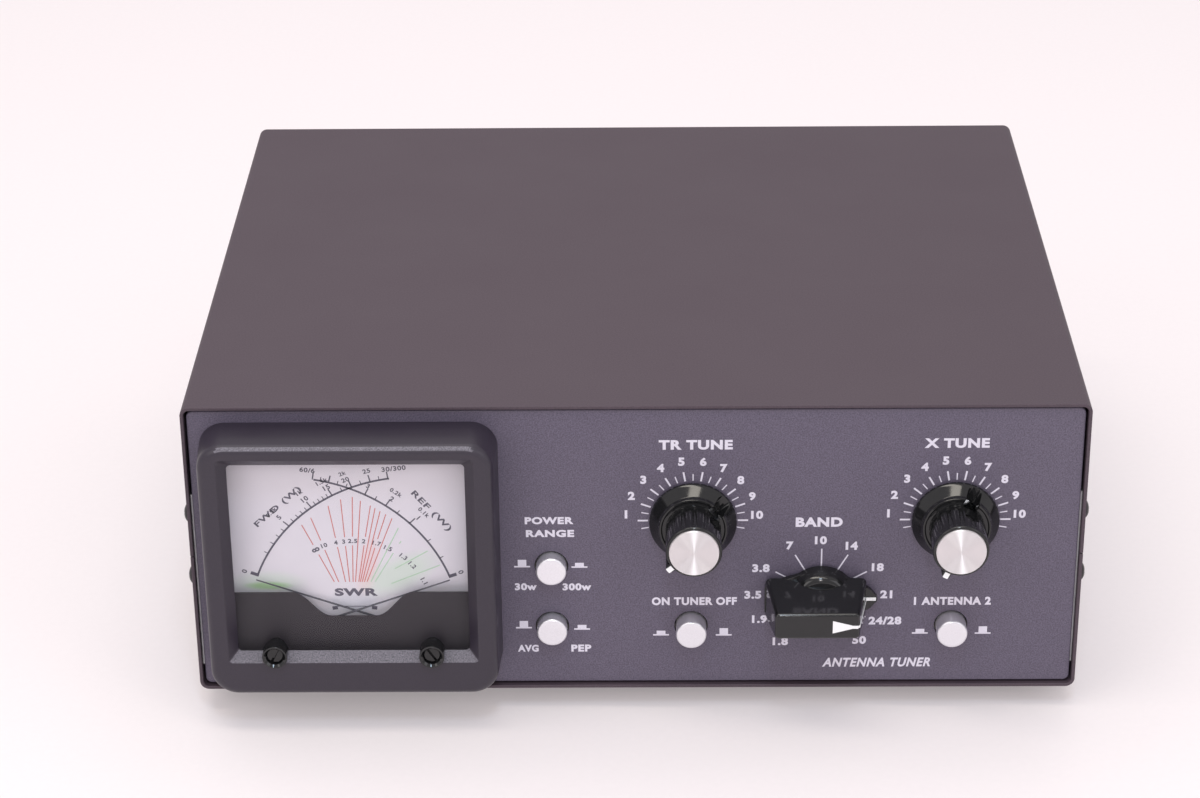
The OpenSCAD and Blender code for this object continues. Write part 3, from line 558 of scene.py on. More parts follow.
# %% Rear panel
SOCKET_R = 7.94
SOCKET_Z = (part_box("earth_washer")[0].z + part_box("earth_washer")[1].z) / 2 / MM - BOTTOM_Z
MOUNT_X = {mount["name"]: mount["pos_m"][0] / MM for mount in frame["record"]["mounts"]}
SOCKETS = [x for name, x in MOUNT_X.items() if name.endswith("_thread")]
JACK_X, STUD_X = MOUNT_X["lamp_supply_jack"], MOUNT_X["earth_stud"]
JACK_HOLE_R, STUD_R = 4.0, 2.5
holes = [(-x, SOCKET_Z - CASE_H / 2, SOCKET_R + 0.1) for x in SOCKETS]
holes += [(-JACK_X, SOCKET_Z - CASE_H / 2, JACK_HOLE_R), (-STUD_X, SOCKET_Z - CASE_H / 2, STUD_R)]
rear_panel = with_folds(panel("rear_plate", holes), "rear_panel_plate")
place(rear_panel, 0, BACK_Y - PANEL_FACE, BOTTOM_Z + CASE_H / 2, "rear")
fit(rear_panel, "case", "panel_paint", panel_paint, "rear_panel")

# %% [markdown]
# ## Screws and feet
# The dome-headed screws are turned shapes with a cross recess cut in. One is modelled, and copies of it are
# placed where the CAD model has its screws. A rubber foot is a tapered disc with rounded rims and a recess
# for its screw.

# %% Screws
SCREW_INSET = 8.0
SCREW_HEIGHTS = (33.5, 53.5)


def dome_screw(name, head_r=2.8, head_h=2.0, length=3.0, shank_r=1.45):
    """A screw whose head rests on z = 0."""
    dome = [(head_r * math.cos(a), 0.5 + (head_h - 0.5) * math.sin(a))
            for a in (math.radians(x) for x in range(0, 85, 12))]
    screw = turned(name, [(shank_r, -length), (shank_r, 0), (head_r, 0), *dome], 40)
    cross = slab("cross", 2.8, 0.6, 0, 2.0)
    cross = combine(moved(cross, z=head_h - 1), moved(slab("cross", 0.6, 2.8, 0, 2.0), z=head_h - 1), "UNION")
    return eased(combine(screw, cross), 0.07, 2, 40)


screw = dome_screw("side_screw")
screws = []
for side, facing in ((-1, "left"), (1, "right")):
    for y in (FRONT_Y + SCREW_INSET, BACK_Y - SCREW_INSET):
        for z in SCREW_HEIGHTS:
            screws.append(place(copied(screw), side * CASE_W / 2, y, BOTTOM_Z + z, facing, 17 * len(screws)))
bpy.data.objects.remove(screw)
fit(joined(screws, "cover_screw_set"), "case", "black_screw", black_screw, "cover_screws")

# %% Feet
FOOT_H = BOTTOM_Z
FOOT_R = 9.0
FOOT_X = CASE_W / 2 - 20
FOOT_INSET = 25
foot = turned("foot", [(4.0, 3.6), (4.0, 0.4), *arc(4.4, 0.4, 0.4, 180, 270),
                       *arc(FOOT_R - 0.7, 0.7, 0.7, -90, 0),
                       *arc(FOOT_R + 0.3, FOOT_H - 0.7, 0.7, -5, 90)], 64)
feet = [place(copied(foot), x, y, 0, "up") for x in (-FOOT_X, FOOT_X)
        for y in (FRONT_Y + FOOT_INSET, FRONT_Y + CASE_D - FOOT_INSET)]
bpy.data.objects.remove(foot)
fit(joined(feet, "feet"), "case", "foot_rubber", foot_rubber, "rubber_feet")

# %% [markdown]
# ## The meter
# ### Bezel
# The bezel is one moulding: a block with round corners whose sides lean in a little towards the front, a
# broad fillet round the front edge, and a sloping frame that leads in to the window. The block is made
# first. The space inside, the slope and the screw holes are then taken out with shapes of their own, and
# two round collars are added where the zero-adjust screws come through. The slope under the window, the one
# that faces up, has a frosted finish with painted light: its colour is lighter than the other slopes', as if
# lit from above. The collars have a glossy finish.

# %% Bezel
COLLAR_PROUD = 1.8
BEZEL_OUT = FRONT_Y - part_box("meter_bezel")[0].y / MM - COLLAR_PROUD
BEZEL_W, BEZEL_H = 82.4, 80.0
BEZEL_DRAFT = 0.7
BEZEL_FILLET = 2.3
WINDOW_W, WINDOW_H = 65.0, 58.8
WINDOW_Z = METER_Z + 3.3
WINDOW_DEPTH = BEZEL_OUT - 2.7
ZERO_DX, ZERO_Z = 22.0, centre_of("forward_zero_screw")[1]
ZERO_R = 2.45
COLLAR_R = 3.5
COLLAR_OUT = BEZEL_OUT + COLLAR_PROUD


def ringed(name, outlines, corner, segments=8):
    """A plate with round corners, then one extrusion and change of size for each further outline."""
    width, height, z = outlines[0]
    piece = moved(slab(name, width, height, corner, outlines[1][2] - z, segments), z=z)
    edit(piece)
    pick(piece, "FACE", lambda middle, normal: normal.z > 0.9 and middle.z > z + 0.001)
    now = outlines[0]
    for step, outline in enumerate(outlines[1:]):
        if step:
            extrude(outline[2] - now[2])
        bpy.ops.transform.resize(value=(outline[0] / now[0], outline[1] / now[1], 1),
                                 center_override=(0, 0, outline[2]))
        now = outline
    close_up()
    return piece


front_w, front_h = BEZEL_W - 2 * BEZEL_DRAFT, BEZEL_H - 2 * BEZEL_DRAFT
rounding = [(front_w - 2 * BEZEL_FILLET * (1 - math.cos(a)), front_h - 2 * BEZEL_FILLET * (1 - math.cos(a)),
             BEZEL_OUT - BEZEL_FILLET * (1 - math.sin(a))) for a in (math.radians(15 * i) for i in range(7))]
bezel = ringed("bezel_moulding", [(BEZEL_W, BEZEL_H, -PANEL_FACE), *rounding], 7.5, 12)
lip = [(WINDOW_W + 2 * d, WINDOW_H + 2 * d, WINDOW_DEPTH + z) for d, z in
       ((0, -0.2), (0, 0), (2.45, 2.45), (2.62, 2.6), (3.0, 2.72), (3.4, 2.8))]
combine(bezel, moved(ringed("slope", lip, 1.2), y=WINDOW_Z - METER_Z))
for side in (-1, 1):
    collar = turned("collar", [(COLLAR_R, WINDOW_DEPTH - 0.5),
                               *arc(COLLAR_R - 0.25, COLLAR_OUT - 0.25, 0.25, 0, 90)])
    combine(bezel, moved(collar, side * ZERO_DX, ZERO_Z - METER_Z), "UNION")
combine(bezel, moved(slab("hollow", 76, 72, 3, WINDOW_DEPTH + 4), z=-4))
for side in (-1, 1):
    combine(bezel, bar(side * ZERO_DX, ZERO_Z - METER_Z, ZERO_R + 0.05, -2, COLLAR_OUT + 2))
    cone = turned("countersink", [(ZERO_R, COLLAR_OUT - 0.6), (ZERO_R + 0.65, COLLAR_OUT + 0.05)], 48)
    combine(bezel, moved(cone, side * ZERO_DX, ZERO_Z - METER_Z))
on_front(bezel, METER_X, METER_Z)
fit(bezel, "case", "bezel_plastic", bezel_plastic, "meter_bezel", angle=28)
bezel.data.materials.append(frosted_slope_painted_light)
bezel.data.materials.append(knob_plastic)
for face in bezel.data.polygons:
    lip_y = face.center.y / MM - FRONT_Y
    on_slope = -0.9 < face.normal.y < -0.5 and face.normal.z > 0.3 and -BEZEL_OUT + 0.1 < lip_y < -WINDOW_DEPTH
    # painted light: only the slope that faces up gets the lighter frosted finish
    if on_slope and abs(face.center.x / MM - METER_X) < WINDOW_W / 2 + 2.5:
        face.material_index = 1
    across = abs(face.center.x / MM - METER_X) - ZERO_DX
    if math.hypot(across, face.center.z / MM - BOTTOM_Z - ZERO_Z) < COLLAR_R + 0.1 and lip_y < -WINDOW_DEPTH:
        face.material_index = 2

# %% [markdown]
# ### Window, mask and dial
# The acrylic window lies behind the slope. A black mask covers the movements and dips in the middle, in two
# smooth curves, so that the needles show where they cross. The dial is a white card behind the needles.

# %% Window
window = slab("window_sheet", 75.6, 71.6, 3, 1.5)
for side in (-1, 1):
    combine(window, bar(side * ZERO_DX, ZERO_Z - METER_Z, ZERO_R + 0.05, -1, 3))
on_front(eased(window, 0.1), METER_X, METER_Z, -WINDOW_DEPTH + 1.5)
fit(window, "case", "window_glass", window_acrylic, "meter_window")

# %% Mask
MASK_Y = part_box("meter_mask")[0].y / MM - FRONT_Y
MASK_SIDE, MASK_DIP = 35.4, 27.8
DIP_HALF, DIP_CURVE = 6.3, 10.6


def mask_height(x):
    """The height of the mask's upper edge: flat in the dip, and rising in half a wave on each side."""
    share = min(1.0, max(0.0, (abs(x) - DIP_HALF) / DIP_CURVE))
    return MASK_DIP + (MASK_SIDE - MASK_DIP) * (1 - math.cos(math.pi * share)) / 2


MASK_W, MASK_BOTTOM = 75.6, METER_Z - 35.8
clear()
bpy.ops.mesh.primitive_grid_add(x_subdivisions=96, y_subdivisions=1, size=1, enter_editmode=True)
mask = named("mask_sheet")
bpy.ops.transform.resize(value=(MASK_W, 1, 1))
mesh = bmesh.from_edit_mesh(mask.data)
for corner in mesh.verts:
    corner.co.y = MASK_BOTTOM if corner.co.y < 0 else mask_height(corner.co.x)
bmesh.update_edit_mesh(mask.data)
bpy.ops.mesh.select_all(action="SELECT")
extrude(0.4)
bpy.ops.object.mode_set(mode="OBJECT")
outward_normals(mask)
for side in (-1, 1):
    combine(mask, bar(side * ZERO_DX, ZERO_Z, 1.2, -1, 2, 24))
on_front(eased(mask, 0.06), METER_X, 0, MASK_Y + 0.4)
fit(mask, "case", "mask_black", mask_plastic, "meter_mask")

# %% [markdown]
# The card's print has soft tints: a green field at the lower left, a pale green wedge at the lower right
# where the match is good, and a pink one in the middle where it is poor. A grey-blue blob in the dip is a
# painted shadow of the mask on the card. Each is a blob: the distance from a centre, stretched along X and
# Z, turned into a soft edge.

# %% Dial card finish
DIAL_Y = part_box("meter_dial")[0].y / MM - FRONT_Y
dial_card, nodes, links, shader = new_finish("dial_card")


def blob(x, z, half_w, half_h, turn, colour, under, strength=1.0):
    """Lays a soft oval of colour over what is under it, at a place on the dial."""
    ball = mapped(nodes, links, "ShaderNodeTexGradient", "TEXTURE",
                  Location=Vector((METER_X + x, FRONT_Y + DIAL_Y, BOTTOM_Z + z)) * MM,
                  Rotation=(0, math.radians(-turn), 0), Scale=(half_w * MM, 0.05, half_h * MM))
    ball.gradient_type = "SPHERICAL"
    edge = between(nodes, links, ball.outputs["Fac"], 0, strength, 0.0, 0.55)
    mix = nodes.new("ShaderNodeMix")
    mix.data_type = "RGBA"
    links.new(edge, mix.inputs["Factor"])
    links.new(under, mix.inputs["A"])
    mix.inputs["B"].default_value = (*colour, 1)
    return mix.outputs["Result"]


paper = tinted(nodes, links, noise(nodes, links, 6, 4), (0.80, 0.76, 0.83), (0.84, 0.80, 0.87))
GREEN, PALE_GREEN = (0.36, 0.72, 0.22), (0.55, 0.82, 0.55)
PINK, PAINTED_MASK_SHADOW = (0.95, 0.60, 0.60), (0.55, 0.58, 0.66)
print_tint = blob(-24, 36.8, 12, 4.5, 0, PALE_GREEN, paper, 0.3)
print_tint = blob(-24, 35.9, 7.5, 1.5, 0, GREEN, print_tint, 0.6)
print_tint = blob(13, 39.5, 14, 6.0, 28, PALE_GREEN, print_tint, 0.36)
print_tint = blob(4.2, 42, 3.6, 11, -12, PINK, print_tint, 0.4)
# painted shadow: a grey-blue blob in the dip stands for the shade the mask casts on the card
print_tint = blob(0, 30, 9, 5, 0, PAINTED_MASK_SHADOW, print_tint, 0.5)
links.new(print_tint, shader.inputs["Base Color"])
links.new(between(nodes, links, noise(nodes, links, 1.5), 0.5, 0.62), shader.inputs["Roughness"])

card = slab("dial_sheet", 75.6, 71.6, 3, 0.8)
for side, dx, z, r in [(s, *p) for s in (-1, 1) for p in ((18.0, 22.0, 3.0), (ZERO_DX, ZERO_Z, 1.2))]:
    combine(card, bar(side * dx, z - METER_Z, r, -1, 2, 32))
on_front(card, METER_X, METER_Z, DIAL_Y + 0.8)
fit(card, "case", "dial_card", dial_card, "meter_dial")

# %% [markdown]
# ### Print
# Ink has a thickness, if hardly any. Printed lines are thin bars with a few hundredths of a millimetre of
# height, words are text objects that were made meshes, and an arc is a ring with the rest cut away. All the
# print of one colour is joined into one piece.

# %% Printed lines, arcs and words
INK_T = 0.03


def strokes(name, lines):
    """Thin bars, each from one point to another: (x, y, x, y, width)."""
    bars = []
    for x0, y0, x1, y1, width in lines:
        clear()
        bpy.ops.mesh.primitive_cube_add(size=1, location=((x0 + x1) / 2, (y0 + y1) / 2, INK_T / 2))
        bars.append(bpy.context.object)
        bars[-1].scale = (math.hypot(x1 - x0, y1 - y0), width, INK_T)
        bars[-1].rotation_euler.z = math.atan2(y1 - y0, x1 - x0)
    for stroke in bars:
        stroke.select_set(True)
    bpy.ops.object.transform_apply(location=True, rotation=True, scale=True)
    return joined(bars, name)


def ring_part(name, x, y, radius, width, start, end):
    """Part of a flat ring round (x, y), from one angle to another in degrees."""
    clear()
    bpy.ops.mesh.primitive_circle_add(vertices=360, radius=radius - width / 2, enter_editmode=True)
    piece = named(name)
    bpy.ops.mesh.select_all(action="SELECT")
    extrude(0)
    share = (radius + width / 2) / (radius - width / 2)
    bpy.ops.transform.resize(value=(share, share, 1), center_override=(0, 0, 0))
    pick(piece, "FACE", lambda m, n: not start <= math.degrees(math.atan2(m.y, m.x)) % 360 <= end)
    bpy.ops.mesh.delete(type="FACE")
    bpy.ops.mesh.select_all(action="SELECT")
    extrude(INK_T)
    bpy.ops.object.mode_set(mode="OBJECT")
    outward_normals(piece)
    return moved(piece, x, y)


def word(text, x, y, height, width=None, bold=0.03, turn=0, slant=0.0):
    """A printed word of a given height, and width if given, centred on (x, y)."""
    clear()
    bpy.ops.object.text_add()
    letters = bpy.context.object
    letters.data.body = text
    letters.data.offset = bold
    letters.data.shear = slant
    letters.data.extrude = 0.02
    letters.data.space_character = 1.12
    letters.data.resolution_u = 4
    bpy.ops.object.convert(target="MESH")
    points = [v.co for v in letters.data.vertices]
    low = Vector([min(p[i] for p in points) for i in range(3)])
    high = Vector([max(p[i] for p in points) for i in range(3)])
    tall = height / (high.y - low.y)
    wide = width / (high.x - low.x) if width else tall * 1.12
    letters.data.transform(Matrix.Translation(-(low + high) / 2 + Vector((0, 0, 0.02))))
    letters.data.transform(Matrix.Diagonal((wide, tall, INK_T / 0.04, 1)))
    return moved(letters, x, y, turn=turn)


print("print tools are ready")

# %% [markdown]
# The two scales are arcs round the needles' pivots. A meter of this kind reads more closely than the square
# root of the power, so both scales follow a power law: angle = start + sweep x (power / full)^exponent. The
# fan of SWR lines then needs no table. A line of constant SWR is where the needles cross at powers whose
# ratio gives that SWR, so each point of it is found by halving an interval.

# %% Scales
PIVOT_DX, PIVOT_Z = 17.9, 22.5
SCALE_R = 47.7
FULL_FWD, FULL_REF = 30.0, 6.0


def forward_angle(power):
    return 158.5 - 60.1 * (power / FULL_FWD) ** 0.58


def reflected_angle(power):
    return 20.4 + 60.0 * (power / FULL_REF) ** 0.52


def crossing(forward, reflected):
    """Where the needles cross, in the dial's own x and z."""
    rise_f = math.tan(math.radians(forward_angle(forward)))
    rise_r = math.tan(math.radians(reflected_angle(reflected)))
    x = PIVOT_DX * (rise_f + rise_r) / (rise_f - rise_r)
    return x, PIVOT_Z + rise_f * (x - PIVOT_DX)


def swr_point(ratio, z):
    low, high = 1e-6, FULL_FWD
    for _ in range(50):
        power = (low + high) / 2
        low, high = (power, high) if crossing(power, power * ratio)[1] < z else (low, power)
    return crossing(low, low * ratio)


def tick(centre_x, angle, radius, length, width):
    c, s = math.cos(math.radians(angle)), math.sin(math.radians(angle))
    return (centre_x + radius * c, PIVOT_Z + radius * s,
            centre_x + (radius + length) * c, PIVOT_Z + (radius + length) * s, width)


LONG_TICK, SHORT_TICK = (2.2, 0.38), (1.2, 0.25)
marks = []
for power in (*range(1, 16), 17.5, 20, 22.5, 25, 27.5, 30):
    size = LONG_TICK if power % 5 == 0 else SHORT_TICK
    marks.append(tick(PIVOT_DX, forward_angle(power), SCALE_R, *size))
for power in (0.1, 0.4, 1, 1.5, 2, 2.5, 3, 4, 4.5, 5, 5.5, 6):
    size = LONG_TICK if power in (1, 2, 3, 5, 6) else SHORT_TICK
    marks.append(tick(-PIVOT_DX, reflected_angle(power), SCALE_R, *size))
marks.append(tick(PIVOT_DX, 159.3, SCALE_R - 0.3, 2.4, 1.0))
marks.append(tick(-PIVOT_DX, 19.8, SCALE_R - 0.3, 2.4, 1.0))
marks += [(side * 6.3, 28.5, side * 4.8, 28.7, 1.1) for side in (-1, 1)] + [(-5, 29.1, 5, 29.1, 0.2)]
scale_marks = strokes("scale_marks", marks)
arcs = [ring_part("arc", PIVOT_DX, PIVOT_Z, SCALE_R, 0.55, 98.4, 159.2),
        ring_part("arc", -PIVOT_DX, PIVOT_Z, SCALE_R, 0.55, 20.0, 80.4)]
FORWARD_LABELS = (("0", 159.5, 51.6, 1.5), ("0.5k", 137.2, 54.2, 1.3), ("5", 137.0, 51.6, 1.5),
                  ("1k", 126.5, 53.4, 1.3), ("10", 126.5, 50.9, 1.5), ("1.5k", 118.6, 52.8, 1.3),
                  ("15", 118.4, 50.6, 1.5), ("2k", 111.8, 52.6, 1.2), ("20", 111.8, 50.5, 1.4),
                  ("25", 104.5, 51.2, 1.4), ("30/300", 96.0, 50.6, 1.5))
REFLECTED_LABELS = (("0", 20.0, 51.2, 1.5), ("0.1k", 43.6, 53.0, 1.3), ("1", 43.4, 50.7, 1.5),
                    ("0.2k", 54.2, 52.8, 1.3), ("2", 54.0, 50.5, 1.5), ("3", 62.6, 50.6, 1.4),
                    ("60/6", 82.4, 50.4, 1.5))
scale_words = []
for pivot, labels in ((PIVOT_DX, FORWARD_LABELS), (-PIVOT_DX, REFLECTED_LABELS)):
    for text, angle, r, h in labels:
        a = math.radians(angle)
        scale_words.append(word(text, pivot + r * math.cos(a), PIVOT_Z + r * math.sin(a), h, turn=angle - 90))
scale_words.append(word("FWD (W)", -19.9, 60.9, 2.3, 17.4, 0.025, 42.9))
scale_words.append(word("REF (W)", 22.5, 59.4, 2.3, 15.6, 0.025, -49.9))
scale_words.append(word("SWR", 0.6, 33.7, 2.5, 12.1, 0.05))
# infinity is an 8 that lies on its side
scale_words.append(word("8", -10.1, 47.3, 2.3, 1.3, turn=118))
for text, x, z, turn in (
        ("10", -7.7, 48.7, 20), ("4", -4.4, 49.6, 10), ("3", -2.2, 49.9, 5), ("2.5", 0.3, 50.1, 0),
        ("2", 3.4, 50.0, -8), ("1.7", 7.0, 49.3, -14), ("1.5", 10.1, 47.7, -24), ("1.3", 14.3, 45.0, -40),
        ("1.2", 16.7, 42.3, -48), ("1.1", 19.8, 37.2, -60)):
    scale_words.append(word(text, x, z, 1.35, turn=turn))
scale_print = joined([scale_marks, *arcs, *scale_words], "dial_scales")
on_front(scale_print, METER_X, 0, DIAL_Y)
scale_ink = finish("scale_ink", (0.12, 0.11, 0.15), (0.5, 0.6), 0.3, 0.002, 0.08)
fit(scale_print, "case", "dial_card", scale_ink)

# %% The fan of SWR lines
FAN_LOW, FAN_HIGH_R, FAN_TOP = 37.0, 45.6, 66
FAN_W, GREEN_W = 0.26, 0.3


def fan_top(ratio):
    """The height at which a line ends, a little inside both scales."""
    z = FAN_LOW
    while z < FAN_TOP:
        x, reached = swr_point(ratio, z + 0.25)
        if math.hypot(abs(x) + PIVOT_DX, reached - PIVOT_Z) > FAN_HIGH_R:
            break
        z += 0.25
    return z


def fan_line(swr, gap, width):
    ratio = ((swr - 1) / (swr + 1)) ** 2
    parts = [(FAN_LOW, gap[0]), (gap[1], fan_top(ratio))] if gap else [(FAN_LOW, fan_top(ratio))]
    return [(*swr_point(ratio, low), *swr_point(ratio, high), width) for low, high in parts]


red_lines = []
for swr, gap in ((1e6, (45.8, 48.9)), (10, (47.3, 50.3)), (4, (48.2, 51.1)), (3, (48.5, 51.3)),
                 (2.5, (48.7, 51.5)), (2.25, None), (2, (48.7, 51.4)), (1.9, None), (1.8, None),
                 (1.7, (47.9, 50.7)), (1.6, None)):
    red_lines += fan_line(swr, gap, FAN_W)
red_fan = on_front(strokes("red_fan", red_lines), METER_X, 0, DIAL_Y)
red_ink = finish("red_ink", (0.66, 0.20, 0.18), (0.5, 0.6), 0.4, 0.002, 0.08)
fit(red_fan, "case", "dial_card", red_ink)

green_lines = fan_line(1.48, None, GREEN_W) + fan_line(1.38, (46.2, 49.2), GREEN_W)
green_lines += [(11.8, 41.2, 21.1, 46.8, GREEN_W), (10.6, 36.4, 24.4, 42.3, GREEN_W)]
green_fan = on_front(strokes("green_fan", green_lines), METER_X, 0, DIAL_Y)
green_ink = finish("green_ink", (0.50, 0.70, 0.52), (0.5, 0.6), 0.4, 0.002, 0.08)
fit(green_fan, "case", "dial_card", green_ink)

# %% [markdown]
# ### Zero-adjust screws
# A slotted plastic screw stands back in each collar. The slot is cut with a thin slab, and its rim is eased,
# so that it reads as a dark line with a lighter edge.

# %% Zero screws
ZERO_LONG = (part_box("forward_zero_screw")[1].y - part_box("forward_zero_screw")[0].y) / MM
ZERO_FRONT = FRONT_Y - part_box("forward_zero_screw")[0].y / MM
for node, side, turn in (("forward_zero", 1, -56), ("reflected_zero", -1, 64)):
    rings = [(1.6, ZERO_FRONT - ZERO_LONG), (1.6, 0), (0.8, 0.1), (0.8, 7.6), (ZERO_R, 7.7),
             (ZERO_R, ZERO_FRONT - 0.5),
             *arc(ZERO_R - 0.4, ZERO_FRONT - 0.4, 0.4, 0, 90)]
    piece = turned(f"{node}_slotted", rings, 48)
    combine(piece, moved(slab("slot", 6, 0.7, 0, 2), z=ZERO_FRONT - 0.9))
    eased(piece, 0.08, 2, 50)
    on_front(piece, METER_X + side * ZERO_DX, ZERO_Z, 0, turn)
    fit(piece, node, "meter_black", knob_plastic, f"{node}_screw")

# %% [markdown]
# ## Tuning knobs
# Each of the two knobs is one glossy black moulding: a broad flange like a cone, a ring, and a fluted grip.
# A rib at one side carries the white mark, and a channel at the other side lets a hexagon key reach the set
# screw. The knob is turned first, with its hollow underside. The rib is added, and the flutes, the channel
# and the screw's hole are then cut, all while the knob stands upright with its pointer along X.

# %% Tuning knobs
KNOB_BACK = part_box("tr_knob")[1].y / MM - FRONT_Y
KNOB_H = KNOB_BACK + FRONT_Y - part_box("tr_knob_cap")[0].y / MM
SHAFT_END = KNOB_BACK + FRONT_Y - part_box("tr_rotor")[0].y / MM
SHAFT_HOLE_R = 3.05
FLANGE_R, GRIP_R, CAP_R = 12.2, 7.75, 6.85
FLUTES = 15
SET_SCREW_H = 9.2
CHANNEL_W, CHANNEL_R, CHANNEL_LOW, CHANNEL_TOP = 4.2, 6.5, 1.2, 12.6
HOLLOW = [(SHAFT_HOLE_R, SHAFT_END + 0.3), (SHAFT_HOLE_R, 3.9), (7.6, 3.9), (7.6, 0)]


def tuning_knob(name):
    knob = turned(name, [
        *HOLLOW, (FLANGE_R - 0.3, 0), (FLANGE_R, 0.25), (FLANGE_R, 0.75), (FLANGE_R - 0.15, 1.05),
        (FLANGE_R - 0.5, 1.45), (9.85, 3.75), (9.65, 4.1), (9.6, 4.8), (9.4, 5.05), (8.95, 5.1), (8.6, 4.8),
        (GRIP_R, 4.8), (GRIP_R, KNOB_H - 1.3), *arc(GRIP_R - 0.6, KNOB_H - 1.2, 0.6, 0, 75),
        (CAP_R + 0.15, KNOB_H - 0.55),
        (CAP_R + 0.12, KNOB_H - 1.4)], 144)
    rib = eased(slab("rib", 3.8, 2.4, 0.5, KNOB_H - 5), 0.3, 3, 60)
    combine(knob, moved(rib, 7.4, 0, 3.8), "UNION")
    flutes = []
    for i in range(FLUTES):
        a = math.radians(360 * (i + 0.5) / FLUTES)
        flute = turned("flute", [(0.1, 5.3), (0.5, 5.45), (0.75, 5.9), (0.75, 16.1), (0.5, 16.5), (0.1, 16.7)],
                       16)
        flutes.append(moved(flute, (GRIP_R + 0.32) * math.cos(a), (GRIP_R + 0.32) * math.sin(a)))
    combine(knob, joined(flutes, "flutes"))
    channel = slab("channel", CHANNEL_W, CHANNEL_TOP - CHANNEL_LOW, 1.2, 9, 8)
    combine(knob, moved(channel, -CHANNEL_R, 0, (CHANNEL_TOP + CHANNEL_LOW) / 2, -90, 90))
    combine(knob, moved(bar(0, 0, 1.55, 3.2, 10, 32), z=SET_SCREW_H, turn=-90, tip=90))
    return eased(knob, 0.1, 2, 50)


def pointer_turn(mark):
    """The angle of a knob's pointer, from where its CAD mark stands."""
    x, z = centre_of(mark)
    knob_x, knob_z = KNOBS[mark.replace("knob_mark", "turn")]
    return math.degrees(math.atan2(z - knob_z, x - knob_x))


for side in ("tr", "x"):
    x, z = KNOBS[f"{side}_turn"]
    turn = pointer_turn(f"{side}_knob_mark")
    knob = on_front(tuning_knob(f"{side}_fluted_knob"), x, z, KNOB_BACK, turn)
    fit(knob, f"{side}_tuner", "knob_black", knob_plastic, f"{side}_knob")
    mark = moved(eased(slab(f"{side}_pointer_mark", 2.3, 1.5, 0.2, 0.55), 0.08), 8.3, 0, KNOB_H - 1.45)
    fit(on_front(mark, x, z, KNOB_BACK, turn), f"{side}_tuner", "mark_white", white_fill, f"{side}_knob_mark")
    cap = turned(f"{side}_turned_cap", [
        (CAP_R - 0.1, KNOB_H - 1.5), (CAP_R, KNOB_H - 1.4), (CAP_R, KNOB_H - 0.2),
        (CAP_R - 0.08, KNOB_H - 0.06), (CAP_R - 0.25, KNOB_H)], 96)
    on_front(cap, x, z, KNOB_BACK, turn)
    fit(cap, f"{side}_tuner", "cap_metal", cap_finishes[side], f"{side}_knob_cap", angle=25)

# %% [markdown]
# ### Band knob
# The band knob is a bar on a round skirt, with a thin pointed plate under it. The bar narrows towards its
# face: the block's front face is made smaller and moved, and its edges are rounded. The plate's outline is
# the convex hull of five circles. The skirt starts with only the wide part of the hollow, since the hole for
# the shaft reaches past it and is cut last. A white arrow lies on the face, a thin line runs down the end, and a
# thick one points at the scale.

# %% Band knob
BAND_H = KNOB_BACK + FRONT_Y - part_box("band_knob")[0].y / MM
BAR_FOOT = 0.8
BAR_LOW, BAR_HIGH = (-15.8, 12.8), (-13.5, 9.8)
BAR_HALF_LOW, BAR_HALF_HIGH = 6.6, 3.9
WING_TIP, WING_H, SKIRT_R = 15.8, 2.0, 9.8

band_knob = turned("band_bar_knob", [*HOLLOW[2:], (SKIRT_R - 0.3, 0), (SKIRT_R, 0.3), (SKIRT_R - 0.05, 0.9),
                                     (SKIRT_R - 0.4, 2.2), (SKIRT_R - 0.9, 3.4), (SKIRT_R - 1.4, 4.4),
                                     (SKIRT_R - 2.0, 5.0), (SKIRT_R - 3.0, 5.3)])
clear()
bpy.ops.mesh.primitive_circle_add(vertices=64, radius=9.2, enter_editmode=True)
wings = bpy.context.object
for x, y, r in ((11.2, 0, 3.9), (WING_TIP - 1.5, 0, 1.5), (-14.3, 3.4, 1.6), (-14.3, -3.4, 1.6)):
    bpy.ops.mesh.primitive_circle_add(vertices=24, radius=r, location=(x, y, 0))
bpy.ops.mesh.select_all(action="SELECT")
extrude(WING_H - 0.4)
bpy.ops.mesh.select_all(action="SELECT")
bpy.ops.mesh.convex_hull()
bpy.ops.object.mode_set(mode="OBJECT")
combine(band_knob, moved(eased(wings, 0.45, 3, 60), z=0.4), "UNION")
low_w, high_w = BAR_LOW[1] - BAR_LOW[0], BAR_HIGH[1] - BAR_HIGH[0]
low_x, high_x = sum(BAR_LOW) / 2, sum(BAR_HIGH) / 2
block = moved(slab("block", low_w, 2 * BAR_HALF_LOW, 1.6, BAND_H - BAR_FOOT, 4), low_x, 0, BAR_FOOT)
edit(block)
pick(block, "FACE", lambda middle, normal: normal.z > 0.9)
bpy.ops.transform.resize(value=(high_w / low_w, BAR_HALF_HIGH / BAR_HALF_LOW, 1),
                         center_override=(low_x, 0, BAND_H))
bpy.ops.transform.translate(value=(high_x - low_x, 0, 0))
bpy.ops.object.mode_set(mode="OBJECT")
eased(block, 0.9, 5, 50)
combine(band_knob, block, "UNION")
combine(band_knob, bar(0, 0, 7.5, -1, 3.4))
combine(band_knob, bar(0, 0, SHAFT_HOLE_R, -1, SHAFT_END + 0.3))
BAND_X, BAND_Z = KNOBS["band_turn"]
on_front(eased(band_knob, 0.08, 2, 50), BAND_X, BAND_Z, KNOB_BACK)
fit(band_knob, "band_selector", "knob_black", knob_plastic, "band_knob")

